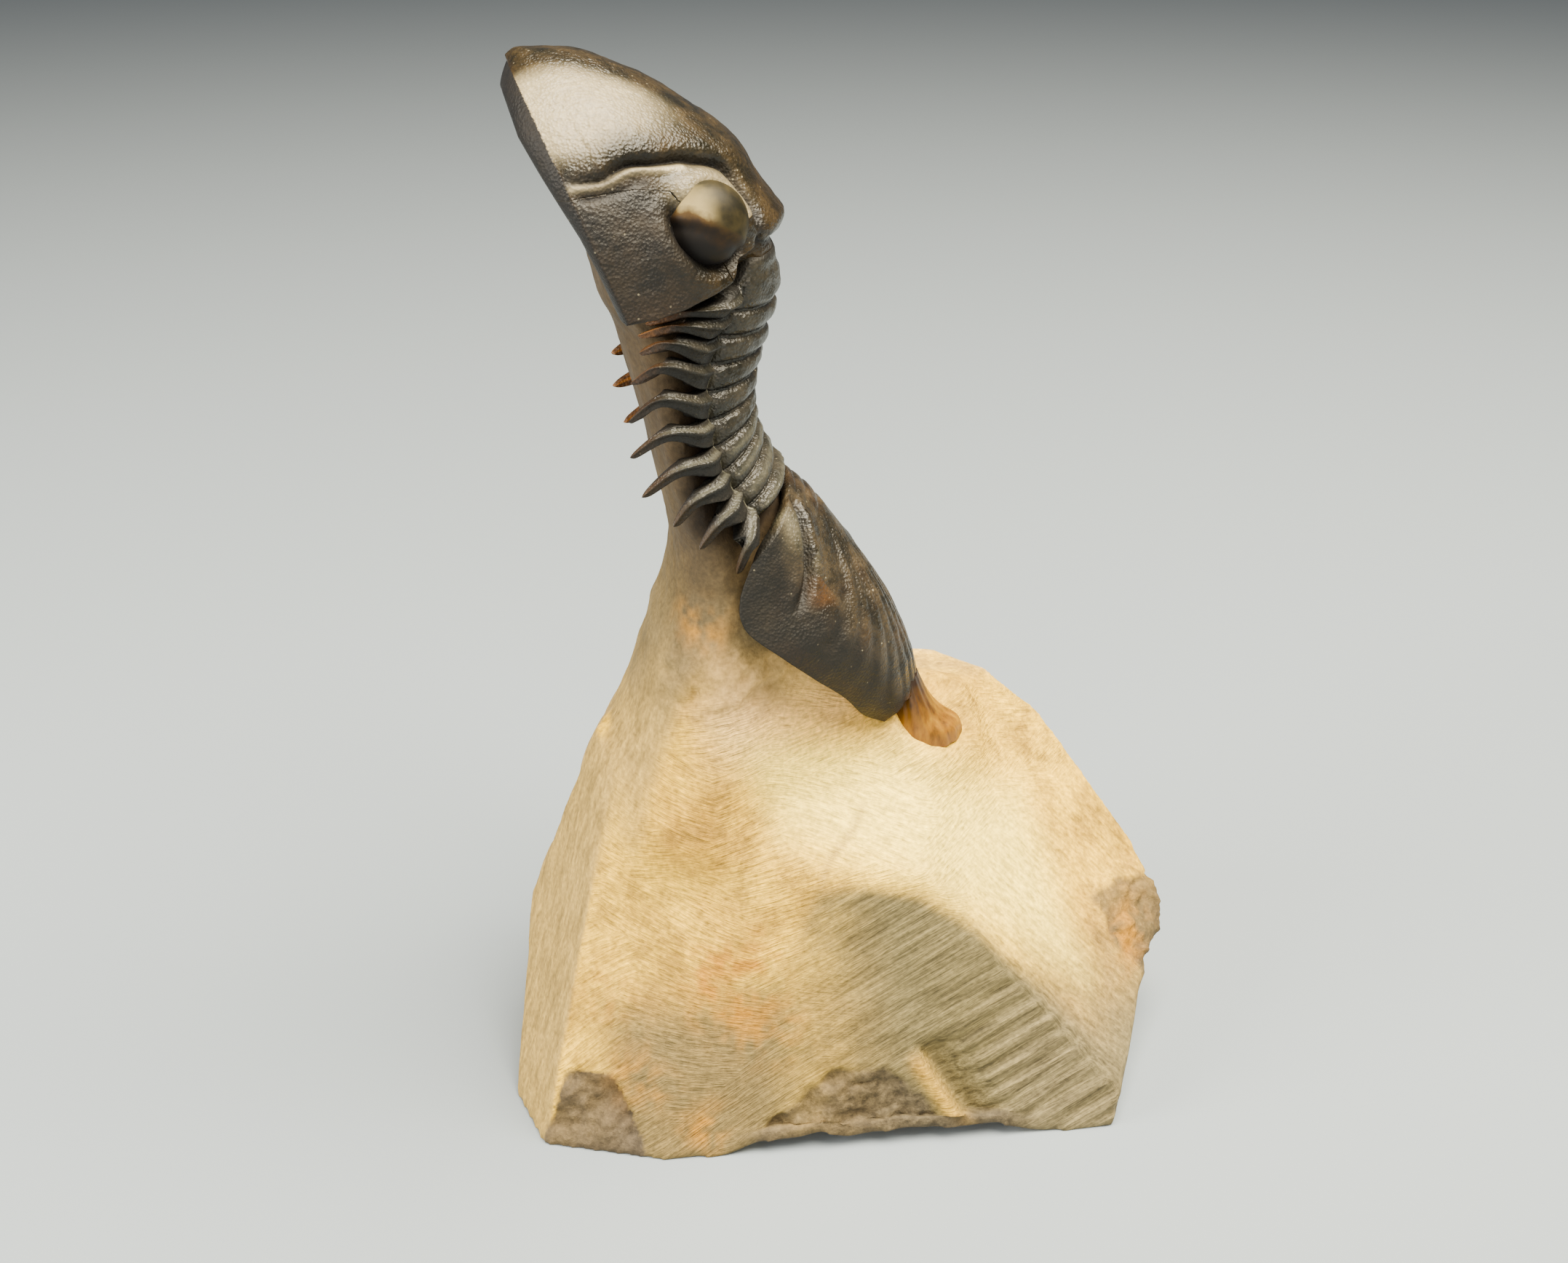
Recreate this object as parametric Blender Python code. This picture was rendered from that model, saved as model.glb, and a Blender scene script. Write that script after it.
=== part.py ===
"""A prepared paralejurus trilobite, standing free on the ground block of limestone it was found in.

The animal is bent like an S on edge: head shield up, ten rings arched behind it, tail shield down on the rock. X runs
from its underside to its back, Y from its left side to its right across the middle plane, and Z is up. The origin is
on the resting face of the block, under the middle of the animal. Dimensions are in millimetres, made metres by MM.
"""

from math import cos, pi, radians, sin, sqrt

import bmesh
import bpy
from mathutils import Matrix, Vector

MM = 0.001
FIT_GAP = 0.3

# The head shield, in its own frame: along from the front rim to the back, side, and height over the rim's plane.
HEAD_FRONT = Vector((-25.05, 0.0, 99.6))
HEAD_TILT = radians(22.5)
HEAD_HALF_WIDTH = 13.4
HEAD_WIDEST_AT = 17.0
HEAD_PROFILE = [
    (-0.6, 0.0), (-0.85, 1.1), (-0.2, 2.7), (1.3, 5.6), (3.6, 8.15), (6.2, 10.5), (9.6, 12.8),
    (13.3, 14.9), (16.7, 15.5), (19.3, 16.2), (20.7, 16.4), (22.3, 14.7), (24.9, 13.7),
]
HEAD_UNDERSIDE = [
    (0.0, 0.4), (1.8, 1.35), (4.6, 1.95), (6.0, 2.1), (7.7, 1.9), (9.2, 1.45), (10.9, 0.9), (12.4, 0.55), (14.2, 0.4),
    (25.0, 0.3),
]

# The facial suture in side view: along and height, from the front margin round the eye to the back margin.
SUTURE = [(9.0, -4.0), (9.8, 0.0), (10.6, 2.7), (11.4, 5.2), (12.8, 7.6), (15.9, 8.6), (19.4, 9.2), (26.0, 9.8)]
EYE_CENTRE = (16.7, 9.4, 9.25)
EYE_RADII = (3.5, 2.9, 3.6)

# Each thoracic segment: ring, axial furrow, shoulder, flank and spine tip, as x and z in the middle plane.
SEGMENTS = [
    [(-2.9, 80.9), (-7.2, 80.9), (-8.4, 80.6), (-11.8, 80.0), (-15.2, 79.4)],
    [(-3.2, 78.7), (-8.1, 79.0), (-9.6, 78.9), (-12.6, 78.8), (-15.9, 78.4)],
    [(-3.9, 76.4), (-9.2, 76.6), (-10.8, 76.9), (-13.4, 77.3), (-15.8, 76.9)],
    [(-4.5, 74.5), (-9.7, 74.2), (-11.1, 74.8), (-14.2, 75.3), (-16.6, 74.3)],
    [(-4.9, 72.5), (-9.9, 71.6), (-11.2, 72.1), (-14.3, 72.4), (-16.9, 70.9)],
    [(-5.1, 70.6), (-9.6, 69.1), (-11.0, 69.4), (-13.9, 69.3), (-16.9, 67.7)],
    [(-5.0, 69.0), (-9.0, 66.6), (-10.3, 66.7), (-13.0, 66.0), (-16.0, 64.0)],
    [(-4.7, 67.3), (-8.2, 64.6), (-9.4, 64.3), (-11.6, 63.1), (-13.3, 61.1)],
    [(-3.9, 65.5), (-7.1, 62.9), (-7.9, 62.2), (-9.4, 61.0), (-11.0, 58.8)],
    [(-2.6, 63.6), (-5.9, 61.4), (-6.3, 60.2), (-6.9, 58.6), (-7.7, 56.2)],
]
SEGMENT_SIDE = [0.0, 7.5, 9.9, 10.9, 9.0]
SEGMENT_HALF_WIDTH = [1.5, 1.4, 1.2, 0.9, 0.25]
SEGMENT_DEPTH = [2.6, 2.6, 2.4, 1.6, 0.8]
TUCKED_SEGMENTS = 3
HEAD_BACK_EDGE = [(-2.9, 82.0), (-6.6, 82.6), (-8.0, 82.0), (-11.4, 81.0), (-15.0, 80.2)]
PYGIDIUM_FRONT = [(-1.9, 62.6), (-5.0, 60.7), (-5.4, 59.0), (-5.9, 57.0), (-6.4, 55.0)]

# The tail shield: its back line and its margin on the right side, front to rear.
PYGIDIUM_BACK = [(-1.7, 62.3), (0.5, 60.5), (3.4, 56.9), (6.2, 53.0), (8.0, 50.2), (9.5, 47.0), (10.7, 43.6), (11.4, 40.4)]
PYGIDIUM_MARGIN = [
    (-6.6, 10.2, 57.4), (-7.7, 10.7, 54.2), (-7.3, 11.0, 51.3), (-3.9, 11.2, 48.3), (-0.7, 10.2, 45.4), (2.3, 8.6, 42.6),
    (4.6, 6.9, 39.7), (7.2, 4.7, 37.6),
]
TAIL_FLARE = [((10.2, 40.6), 1.5, 3.2), ((11.0, 37.6), 2.2, 4.0), ((11.7, 35.6), 3.7, 4.6), ((11.9, 34.0), 4.6, 5.0)]

# The fin of rock inside the animal and the neck under it: back end, front end and half width of each level.
# FIN_OUTLINE is the outline of a level: how far from its front end, and its share of that half width.
FIN = [
    ((-21.6, 94.4), (-23.2, 93.7), 2.0),
    ((-13.6, 93.2), (-21.9, 89.8), 8.0),
    ((-9.2, 89.6), (-19.6, 85.2), 10.6),
    ((-7.0, 84.2), (-18.4, 79.9), 10.6),
    ((-4.8, 80.4), (-17.2, 77.6), 8.9),
    ((-5.9, 76.3), (-16.6, 75.2), 8.9),
    ((-6.4, 72.6), (-15.6, 71.5), 8.9),
    ((-6.5, 69.6), (-14.6, 67.5), 8.9),
    ((-5.9, 66.6), (-13.8, 63.6), 8.9),
    ((-3.6, 62.4), (-13.0, 60.0), 8.9),
    ((-0.6, 58.2), (-12.4, 56.0), 8.9),
    ((2.5, 53.6), (-13.3, 52.0), 9.4),
    ((5.3, 48.4), (-14.9, 47.4), 10.2),
    ((7.5, 42.2), (-17.0, 41.0), 10.9),
    ((8.6, 36.4), (-19.6, 35.4), 11.3),
    ((9.0, 28.0), (-21.5, 28.0), 12.2),
    ((9.0, 18.0), (-22.0, 18.0), 9.0),
]
FIN_OUTLINE = [
    (0.0, 0.0), (0.06, 0.40), (0.20, 0.57), (0.38, 0.67), (0.54, 0.88), (0.70, 1.0), (0.86, 0.88), (0.97, 0.50), (1.0, 0.0),
]

# The block: each ground facet as a point on it and the way it faces.
BLOCK_TOP = 37.0
BLOCK_FACETS = [
    ((-9.7, -20.0, 0.0), (-0.07, -0.97, 0.24)),
    ((-23.3, -10.6, 17.5), (-0.35, -0.88, 0.32)),
    ((-27.9, -14.0, 2.0), (-0.92, -0.24, 0.29)),
    ((-28.6, 0.0, 8.0), (-0.98, 0.20, 0.05)),
    ((-22.9, 0.0, 30.7), (-0.87, 0.32, 0.38)),
    ((4.0, -15.0, 26.4), (0.04, -0.61, 0.79)),
    ((14.4, -15.5, 21.0), (0.52, -0.59, 0.61)),
    ((33.6, -10.0, 8.0), (0.90, -0.42, -0.10)),
    ((36.7, -2.0, 17.0), (0.95, 0.30, 0.06)),
    ((30.0, 3.0, 27.0), (0.82, 0.38, 0.43)),
    ((22.6, 9.0, 33.2), (0.58, 0.44, 0.68)),
    ((32.0, 14.0, 8.0), (0.76, 0.62, 0.20)),
    ((-24.0, 12.0, 14.0), (-0.76, 0.60, 0.24)),
    ((-14.0, 14.0, 30.0), (-0.40, 0.62, 0.68)),
    ((2.0, 23.5, 2.0), (0.02, 0.97, 0.22)),
    ((6.0, 13.0, 37.0), (0.10, 0.62, 0.77)),
]

ROCK_COLOUR = (0.56, 0.46, 0.33)
SHELL_COLOUR = (0.050, 0.047, 0.040)
EYE_COLOUR = (0.30, 0.24, 0.16)
ROCK_ROUGHNESS = 0.85
SHELL_ROUGHNESS = 0.35

SECTION_STEPS = 14
CURVE_STEPS = 3
SMOOTH_ANGLE = radians(35)


def clear_scene():
    for thing in list(bpy.data.objects):
        bpy.data.objects.remove(thing, do_unlink=True)


def collection(name, hidden=False):
    made = bpy.data.collections.new(name)
    bpy.context.scene.collection.children.link(made)
    made.hide_render = hidden
    return made


def material(name, colour, roughness):
    made = bpy.data.materials.new(name)
    made.use_nodes = True
    shader = made.node_tree.nodes["Principled BSDF"]
    shader.inputs["Base Color"].default_value = (*colour, 1)
    shader.inputs["Roughness"].default_value = roughness
    shader.inputs["Metallic"].default_value = 0.0
    return made


def curve_through(points, steps=CURVE_STEPS):
    """Points on a smooth curve through the given ones, with this many steps between each two."""
    ends = [points[0]] + list(points) + [points[-1]]
    ends = [Vector(p) for p in ends]
    made = []
    for before, start, end, after in zip(ends, ends[1:], ends[2:], ends[3:]):
        for step in range(steps):
            t = step / steps
            made.append(
                0.5 * ((2 * start) + (end - before) * t + (2 * before - 5 * start + 4 * end - after) * t * t
                       + (3 * start - before - 3 * end + after) * t * t * t)
            )
    return made + [ends[-1]]


def between(table, spot):
    """The value at a spot on a table of (spot, value) rows."""
    for (low, first), (high, second) in zip(table, table[1:]):
        if spot <= high:
            return first + (second - first) * (spot - low) / (high - low)
    return table[-1][1]


def loft(name, sections, target):
    """A closed solid through a row of closed outlines, each with the same count of points, capped at both ends."""
    mesh = bmesh.new()
    rings = [[mesh.verts.new(Vector(point) * MM) for point in section] for section in sections]
    for first, second in zip(rings, rings[1:]):
        for index in range(len(first)):
            following = (index + 1) % len(first)
            mesh.faces.new((first[index], first[following], second[following], second[index]))
    mesh.faces.new(rings[0])
    mesh.faces.new(reversed(rings[-1]))
    bmesh.ops.triangulate(mesh, faces=list(mesh.faces))
    bmesh.ops.recalc_face_normals(mesh, faces=list(mesh.faces))
    return place(name, mesh, target)


def place(name, mesh, target):
    data = bpy.data.meshes.new(name)
    mesh.to_mesh(data)
    mesh.free()
    made = bpy.data.objects.new(name, data)
    target.objects.link(made)
    return made


def boolean(thing, other, operation):
    modifier = thing.modifiers.new(f"{operation.lower()} {other.name}", "BOOLEAN")
    modifier.operation = operation
    modifier.object = other
    modifier.solver = "EXACT"


def finish(thing, surface):
    thing.data.materials.append(surface)
    thing.data.shade_smooth()
    thing.data.set_sharp_from_angle(angle=SMOOTH_ANGLE)


def head_place(along, side, height):
    """A point of the head's own frame, in the object's frame."""
    back = Vector((sin(HEAD_TILT), 0, -cos(HEAD_TILT)))
    up = Vector((cos(HEAD_TILT), 0, sin(HEAD_TILT)))
    return HEAD_FRONT + back * along + up * height + Vector((0, side, 0))


def head_sections(stations=16):
    """Outlines of the whole head, front to back: a high vault over the rim and a shallow bulge under it."""
    profile = curve_through(HEAD_PROFILE, 8)
    sections = []
    for station in range(stations + 1):
        turn = (0.06 + 0.94 * station / stations) * radians(105)
        widest = HEAD_WIDEST_AT
        rim_along = widest * (1 - cos(turn))
        half_width = HEAD_HALF_WIDTH * (sin(turn) if turn < pi / 2 else 1)
        top = profile[round((0.04 + 0.96 * station / stations) ** 0.9 * (len(profile) - 1))]
        bulge = between(HEAD_UNDERSIDE, rim_along)
        outline = []
        for step in range(SECTION_STEPS + 1):
            angle = pi * step / SECTION_STEPS
            along = rim_along + (top[0] - rim_along) * sin(angle)
            outline.append(head_place(along, -half_width * cos(angle), top[1] * sin(angle)))
        for across in (0.82, 0.45, 0.0, -0.45, -0.82):
            outline.append(head_place(rim_along, half_width * across, -bulge * sqrt(1 - across * across)))
        sections.append(outline)
    return sections


def prism(name, outline, from_side, to_side, target):
    """A block with a side-view outline in the head's frame, between two planes across it."""
    near = [head_place(along, from_side, height) for along, height in outline]
    far = [head_place(along, to_side, height) for along, height in outline]
    return loft(name, [near, far], target)


def ellipsoid(name, centre, radii, grow, target):
    mesh = bmesh.new()
    bmesh.ops.create_uvsphere(mesh, u_segments=20, v_segments=12, radius=1)
    origin = head_place(*centre)
    scale = Matrix.Diagonal((radii[2] + grow, radii[1] + grow, radii[0] + grow))
    turn = Matrix.Rotation(-HEAD_TILT, 3, "Y")
    for vertex in mesh.verts:
        vertex.co = (origin + turn @ (scale @ vertex.co)) * MM
    return place(name, mesh, target)


def segment_line(row, sign):
    """The middle line of one half of a segment: points, from the ring to the spine tip."""
    keys = [Vector((x, sign * side, z)) for (x, z), side in zip(row, SEGMENT_SIDE)]
    ring, furrow = keys[0], keys[1]
    arch = []
    for step in range(4):
        angle = (pi / 2) * step / 4
        arch.append(Vector((
            ring.x + (furrow.x - ring.x) * (1 - cos(angle)),
            furrow.y * sin(angle),
            ring.z + (furrow.z - ring.z) * (1 - cos(angle)),
        )))
    return arch + curve_through(keys[1:], 3)


def along_keys(values):
    """A driving value at each point of a segment's line, from its value at the five key points."""
    arch = [values[0] + (values[1] - values[0]) * step / 4 for step in range(4)]
    rest = []
    for first, second in zip(values[1:], values[2:]):
        rest += [first + (second - first) * step / 3 for step in range(3)]
    return arch + rest + [values[-1]]


def segment_sections(before, row, after):
    """Outlines of one band, from the right spine tip over the back to the left one."""
    widths = along_keys(SEGMENT_HALF_WIDTH)
    depths = along_keys(SEGMENT_DEPTH)
    core = Vector((-12.0, 0.0, 0.0))
    halves = []
    for sign in (1, -1):
        lines = [segment_line(line, sign) for line in (before, row, after)]
        half = []
        for index, middle in enumerate(lines[1]):
            to_front = (lines[0][index] - middle) / 2
            to_back = (lines[2][index] - middle) / 2
            upper = to_front * min(1 - 0.5 * FIT_GAP / to_front.length, widths[index] / to_front.length)
            lower = to_back * min(1 - 0.5 * FIT_GAP / to_back.length, widths[index] / to_back.length)
            inward = Vector((core.x - middle.x, core.y - middle.y, 0)).normalized() * depths[index]
            edge = inward * 0.16
            half.append([
                middle + upper * 0.6, middle + upper + edge, middle + upper + inward,
                middle + lower + inward, middle + lower + edge, middle + lower * 0.6,
            ])
        halves.append(half)
    return halves[0][::-1] + halves[1][1:]


def pygidium_sections(stations=12):
    """Outlines of the tail shield's vault, front to rear, each from margin over the back line to margin."""
    steps = 4
    back = curve_through(PYGIDIUM_BACK, steps)
    margin = curve_through(PYGIDIUM_MARGIN, steps)
    sections = []
    for station in range(stations + 1):
        spot = station / stations * (len(back) - 1)
        low = min(int(spot), len(back) - 2)
        top = back[low].lerp(back[low + 1], spot - low)
        side = margin[low].lerp(margin[low + 1], spot - low)
        outline = []
        for step in range(SECTION_STEPS + 1):
            angle = pi * (step / SECTION_STEPS - 0.5)
            drop = 1 - cos(angle)
            outline.append(Vector((
                top[0] + (side[0] - top[0]) * drop, side[1] * sin(angle), top[1] + (side[2] - top[1]) * drop,
            )))
        sections.append(outline)
    return sections


def flare_sections(grow=0.0):
    """Outlines of the flared rear border, from the vault's end down to the rock."""
    sections = []
    for (x, z), along, across in TAIL_FLARE:
        sections.append([
            Vector((x + (along + grow) * cos(2 * pi * step / 16), (across + grow) * sin(2 * pi * step / 16), z))
            for step in range(16)
        ])
    return sections


def fin_sections(grow):
    """Outlines of the rock's fin and neck, from inside the head down into the block."""
    sections = []
    for back, front, half_width in FIN:
        start, end = Vector((back[0], 0, back[1])), Vector((front[0], 0, front[1]))
        direction = (end - start).normalized()
        start, end = start - direction * grow, end + direction * grow
        left = [start.lerp(end, t) + Vector((0, -(half_width + grow) * w, 0)) for t, w in FIN_OUTLINE]
        right = [start.lerp(end, t) + Vector((0, (half_width + grow) * w, 0)) for t, w in FIN_OUTLINE[-2:0:-1]]
        sections.append(left + right)
    shift = Vector((-sin(HEAD_TILT), 0, cos(HEAD_TILT))) * grow
    sections[0] = [point + shift for point in sections[0]]
    return sections


def ground_block(name, grow, target):
    """A block cut by one plane for each facet that the wheel ground."""
    mesh = bmesh.new()
    bmesh.ops.create_cube(mesh, size=1)
    low, high = Vector((-40, -30, -grow)), Vector((45, 35, BLOCK_TOP + grow))
    for vertex in mesh.verts:
        vertex.co = Vector([a + (b - a) * (c + 0.5) for a, b, c in zip(low, high, vertex.co)]) * MM
    for point, normal in BLOCK_FACETS:
        facing = Vector(normal).normalized()
        spot = (Vector(point) + facing * grow) * MM
        everything = list(mesh.verts) + list(mesh.edges) + list(mesh.faces)
        cut = bmesh.ops.bisect_plane(mesh, geom=everything, plane_co=spot, plane_no=facing, clear_outer=True)
        edges = [part for part in cut["geom_cut"] if isinstance(part, bmesh.types.BMEdge)]
        bmesh.ops.contextual_create(mesh, geom=edges)
    bmesh.ops.triangulate(mesh, faces=list(mesh.faces))
    bmesh.ops.recalc_face_normals(mesh, faces=list(mesh.faces))
    return place(name, mesh, target)


def build():
    clear_scene()
    parts = collection("paralejurus trilobite")
    cutters = collection("cutters", hidden=True)
    rock = material("limestone", ROCK_COLOUR, ROCK_ROUGHNESS)
    shell = material("fossil shell", SHELL_COLOUR, SHELL_ROUGHNESS)
    lens = material("eye calcite", EYE_COLOUR, SHELL_ROUGHNESS)

    matrix = ground_block("matrix", 0.0, parts)
    neck = loft("neck", fin_sections(0.0), cutters)
    boolean(matrix, neck, "UNION")
    finish(matrix, rock)
    wider_neck = loft("neck with its gap", fin_sections(FIT_GAP), cutters)
    wider_block = ground_block("block with its gap", FIT_GAP, cutters)

    everywhere = 40.0
    suture_gap = FIT_GAP / 2
    closed = [(along, height - suture_gap) for along, height in SUTURE] + [(26.0, -4.0)]
    opened = [(along - suture_gap, height + suture_gap) for along, height in SUTURE] + [(26.0, -4.0)]
    suture_cutter = prism("both cheeks with their gap", opened, -everywhere, everywhere, cutters)
    eye_cutters = [
        ellipsoid(f"eye socket {side}", (EYE_CENTRE[0], sign * EYE_CENTRE[1], EYE_CENTRE[2]), EYE_RADII, FIT_GAP, cutters)
        for side, sign in (("left", -1), ("right", 1))
    ]

    cranidium = loft("cranidium", head_sections(), parts)
    boolean(cranidium, wider_neck, "DIFFERENCE")
    boolean(cranidium, suture_cutter, "DIFFERENCE")
    for cutter in eye_cutters:
        boolean(cranidium, cutter, "DIFFERENCE")
    finish(cranidium, shell)

    for (side, sign), socket in zip((("left", -1), ("right", 1)), eye_cutters):
        half = prism(f"{side} cheek's extent", closed, sign * 3.0, sign * everywhere, cutters)
        cheek = loft(f"free_cheek_{side}", head_sections(), parts)
        boolean(cheek, half, "INTERSECT")
        boolean(cheek, wider_neck, "DIFFERENCE")
        boolean(cheek, socket, "DIFFERENCE")
        finish(cheek, shell)
        eye = ellipsoid(f"eye_{side}", (EYE_CENTRE[0], sign * EYE_CENTRE[1], EYE_CENTRE[2]), EYE_RADII, 0.0, parts)
        boolean(eye, wider_neck, "DIFFERENCE")
        finish(eye, lens)

    gap_behind = (head_place(1, 0, 0.5) - head_place(0, 0, 0)) * FIT_GAP
    moved_head = [[point + gap_behind for point in section] for section in head_sections()]
    head_cutter = loft("head moved back by its gap", moved_head, cutters)
    rows = [HEAD_BACK_EDGE, *SEGMENTS, PYGIDIUM_FRONT]
    for number, (before, row, after) in enumerate(zip(rows, rows[1:], rows[2:]), start=1):
        segment = loft(f"thoracic_segment_{number:02d}", segment_sections(before, row, after), parts)
        boolean(segment, wider_neck, "DIFFERENCE")
        if number <= TUCKED_SEGMENTS:
            boolean(segment, head_cutter, "DIFFERENCE")
        finish(segment, shell)

    pygidium = loft("pygidium", pygidium_sections(), parts)
    flare = loft("tail flare", flare_sections(), cutters)
    boolean(pygidium, flare, "UNION")
    boolean(pygidium, wider_neck, "DIFFERENCE")
    boolean(pygidium, wider_block, "DIFFERENCE")
    finish(pygidium, shell)

    for cutter in cutters.objects:
        cutter.hide_render = True
        cutter.display_type = "WIRE"


build()
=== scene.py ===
from math import cos, pi, radians, sin

import bmesh
import bpy
import numpy as np
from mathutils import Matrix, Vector


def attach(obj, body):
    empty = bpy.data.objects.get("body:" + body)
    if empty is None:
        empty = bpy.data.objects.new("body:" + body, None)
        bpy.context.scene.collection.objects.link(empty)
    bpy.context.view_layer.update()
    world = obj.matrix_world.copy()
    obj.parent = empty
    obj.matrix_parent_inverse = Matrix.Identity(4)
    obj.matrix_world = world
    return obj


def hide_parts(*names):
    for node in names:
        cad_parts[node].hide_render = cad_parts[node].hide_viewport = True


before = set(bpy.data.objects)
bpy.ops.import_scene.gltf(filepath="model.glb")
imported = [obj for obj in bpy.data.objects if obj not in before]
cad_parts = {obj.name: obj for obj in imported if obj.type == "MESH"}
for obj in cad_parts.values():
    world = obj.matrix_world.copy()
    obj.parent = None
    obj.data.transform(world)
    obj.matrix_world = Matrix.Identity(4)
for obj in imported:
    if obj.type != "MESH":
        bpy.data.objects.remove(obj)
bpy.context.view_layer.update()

MM = 0.001

# The room: a pale matt floor under one big overhead softbox, with weaker ones at the left and in front, which
# is how the light falls on the stone: bright on the faces that look up, dim on those that look down.
FLOOR_COLOUR = "858F98"
FLOOR_SIZE = 4
WORLD_COLOUR = "B6B9C2"
WORLD_STRENGTH = 0.36
CAMERA_PLACE = (-0.03281, -0.16573, 0.1234)
CAMERA_DOWN = radians(24.7)
CAMERA_RIGHT = radians(10.6)
CAMERA_LENS = 44.27
LIGHTS_AIM = Vector((0, 0, 0.05))
# Name, place, size in m, watts, tint.
SOFTBOXES = [
    ("overhead softbox", (0.12, -0.10, 0.52), 0.42, 20.0, (1.0, 0.90, 0.70)),
    ("softbox at the left", (-0.46, -0.10, 0.24), 0.26, 5.2, (1.0, 0.93, 0.80)),
    ("front fill", (-0.10, -0.60, 0.25), 0.40, 2.4, (1.0, 0.92, 0.80)),
]


def linear(hexadecimal):
    """An sRGB hex colour as linear RGBA."""
    levels = [int(hexadecimal[place:place + 2], 16) / 255 for place in (0, 2, 4)]
    levels = [level / 12.92 if level <= 0.04045 else ((level + 0.055) / 1.055) ** 2.4 for level in levels]
    return (*levels, 1.0)


def node(material, kind, settings, inputs):
    """Adds a shader node with its settings, and links or values for its inputs."""
    tree = material.node_tree
    made = tree.nodes.new("ShaderNode" + kind)
    for name, value in settings.items():
        if name == "stops":
            while len(made.color_ramp.elements) < len(value):
                made.color_ramp.elements.new(1.0)
            for element, (place, colour) in zip(made.color_ramp.elements, value):
                element.position = place
                element.color = linear(colour)
        else:
            setattr(made, name, value)
    for name, value in inputs.items():
        if isinstance(value, bpy.types.Node):
            value = value.outputs[0]
        if isinstance(value, bpy.types.NodeSocket):
            tree.links.new(value, made.inputs[name])
        else:
            made.inputs[name].default_value = value
    return made


def noise(material, place, scale, detail, roughness=0.5):
    inputs = {"Vector": place, "Scale": scale, "Detail": detail, "Roughness": roughness}
    return node(material, "TexNoise", {}, inputs)


def ranged(material, value, low, high, to_low=0.0, to_high=1.0):
    """A value stretched from one range to another."""
    inputs = {"Value": value, "From Min": low, "From Max": high, "To Min": to_low, "To Max": to_high}
    return node(material, "MapRange", {}, inputs)


def product(material, first, second, **settings):
    return node(material, "Math", {"operation": "MULTIPLY", **settings}, {0: first, 1: second})


def mixed(material, share, first, second, mode="MIX"):
    """The second colour laid over the first."""
    settings = {"data_type": "RGBA", "blend_type": mode}
    return node(material, "Mix", settings, {0: share, 6: first, 7: second}).outputs[2]


def level_of(material, mask):
    """A mask of the piece's own points."""
    return node(material, "Attribute", {"attribute_name": mask}, {}).outputs["Fac"]


def new_material(name):
    """A material, its surface shader and the piece's Object coordinates."""
    made = bpy.data.materials.new(name)
    made.use_nodes = True
    shader = made.node_tree.nodes["Principled BSDF"]
    return made, shader, node(made, "TexCoord", {}, {}).outputs["Object"]


def finish_surface(material, shader, links, constants):
    """Connects a surface shader and sets its constants."""
    for name, source in links.items():
        if isinstance(source, bpy.types.Node):
            source = source.outputs[0]
        material.node_tree.links.new(source, shader.inputs[name])
    for name, value in constants.items():
        shader.inputs[name].default_value = value


bpy.ops.object.select_all(action="DESELECT")
bpy.ops.mesh.primitive_plane_add(size=FLOOR_SIZE)
floor = bpy.context.object
floor.name = "floor"
paper, paper_shader, _ = new_material("matt paper")
finish_surface(paper, paper_shader, {}, {"Base Color": linear(FLOOR_COLOUR), "Roughness": 0.9})
floor.data.materials.append(paper)

bpy.ops.object.camera_add(location=CAMERA_PLACE, rotation=(pi / 2 - CAMERA_DOWN, 0, -CAMERA_RIGHT))
camera = bpy.context.object
camera.data.lens = CAMERA_LENS
camera.data.sensor_width = 36
camera.data.clip_start = 0.005
bpy.context.scene.camera = camera

for name, place, size, power, tint in SOFTBOXES:
    bpy.ops.object.light_add(type="AREA", location=place)
    lamp = bpy.context.object
    lamp.name = name
    lamp.rotation_euler = (LIGHTS_AIM - Vector(place)).to_track_quat("-Z", "Y").to_euler()
    lamp.data.size = size
    lamp.data.energy = power
    lamp.data.color = tint
surround = bpy.data.worlds.new("pale room")
bpy.context.scene.world = surround
surround.use_nodes = True
background = surround.node_tree.nodes["Background"]
background.inputs["Color"].default_value = linear(WORLD_COLOUR)
background.inputs["Strength"].default_value = WORLD_STRENGTH


# The head shield's middle plate and its two cheek plates: thin calcite crust, vaulted high over the rock and
# rolled under at the front rim. They met at a hairline suture that the animal split when it moulted. Needle
# and air abrasion freed the crust from the stone, and left its middle smooth and its edge finely pitted.
HEAD_FRONT = np.array([-25.05, 0.0, 99.6])
HEAD_TILT = radians(22.5)
HEAD_AXES = np.array([[sin(HEAD_TILT), 0, -cos(HEAD_TILT)], [0, 1, 0], [cos(HEAD_TILT), 0, sin(HEAD_TILT)]])
HEAD_HALF_WIDTH = 13.4
HEAD_WIDEST_AT = 17.0
HEAD_TURN = radians(105)
HEAD_ROWS = 300
HEAD_COLUMNS = 270
# The shield's back line in its middle plane: along, height over the rim.
HEAD_PROFILE = [
    (-0.6, 0.0), (-0.85, 1.1), (-0.2, 2.7), (1.3, 5.6), (3.6, 8.15), (6.2, 10.5), (9.6, 12.8),
    (13.3, 14.9), (16.7, 15.5), (19.3, 16.2), (20.7, 16.4), (22.3, 14.7), (24.9, 13.7),
]
# How far back the plate reaches, by the distance from the middle plane: ring, notch at the furrow, margin.
HEAD_REAR = [
    (0.0, 24.9), (4.8, 24.7), (6.3, 23.6), (7.1, 21.2), (7.8, 20.4), (9.3, 20.8), (10.2, 21.9),
    (11.4, 21.9), (12.6, 21.7), (13.2, 21.3), (13.4, 20.6),
]
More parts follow.
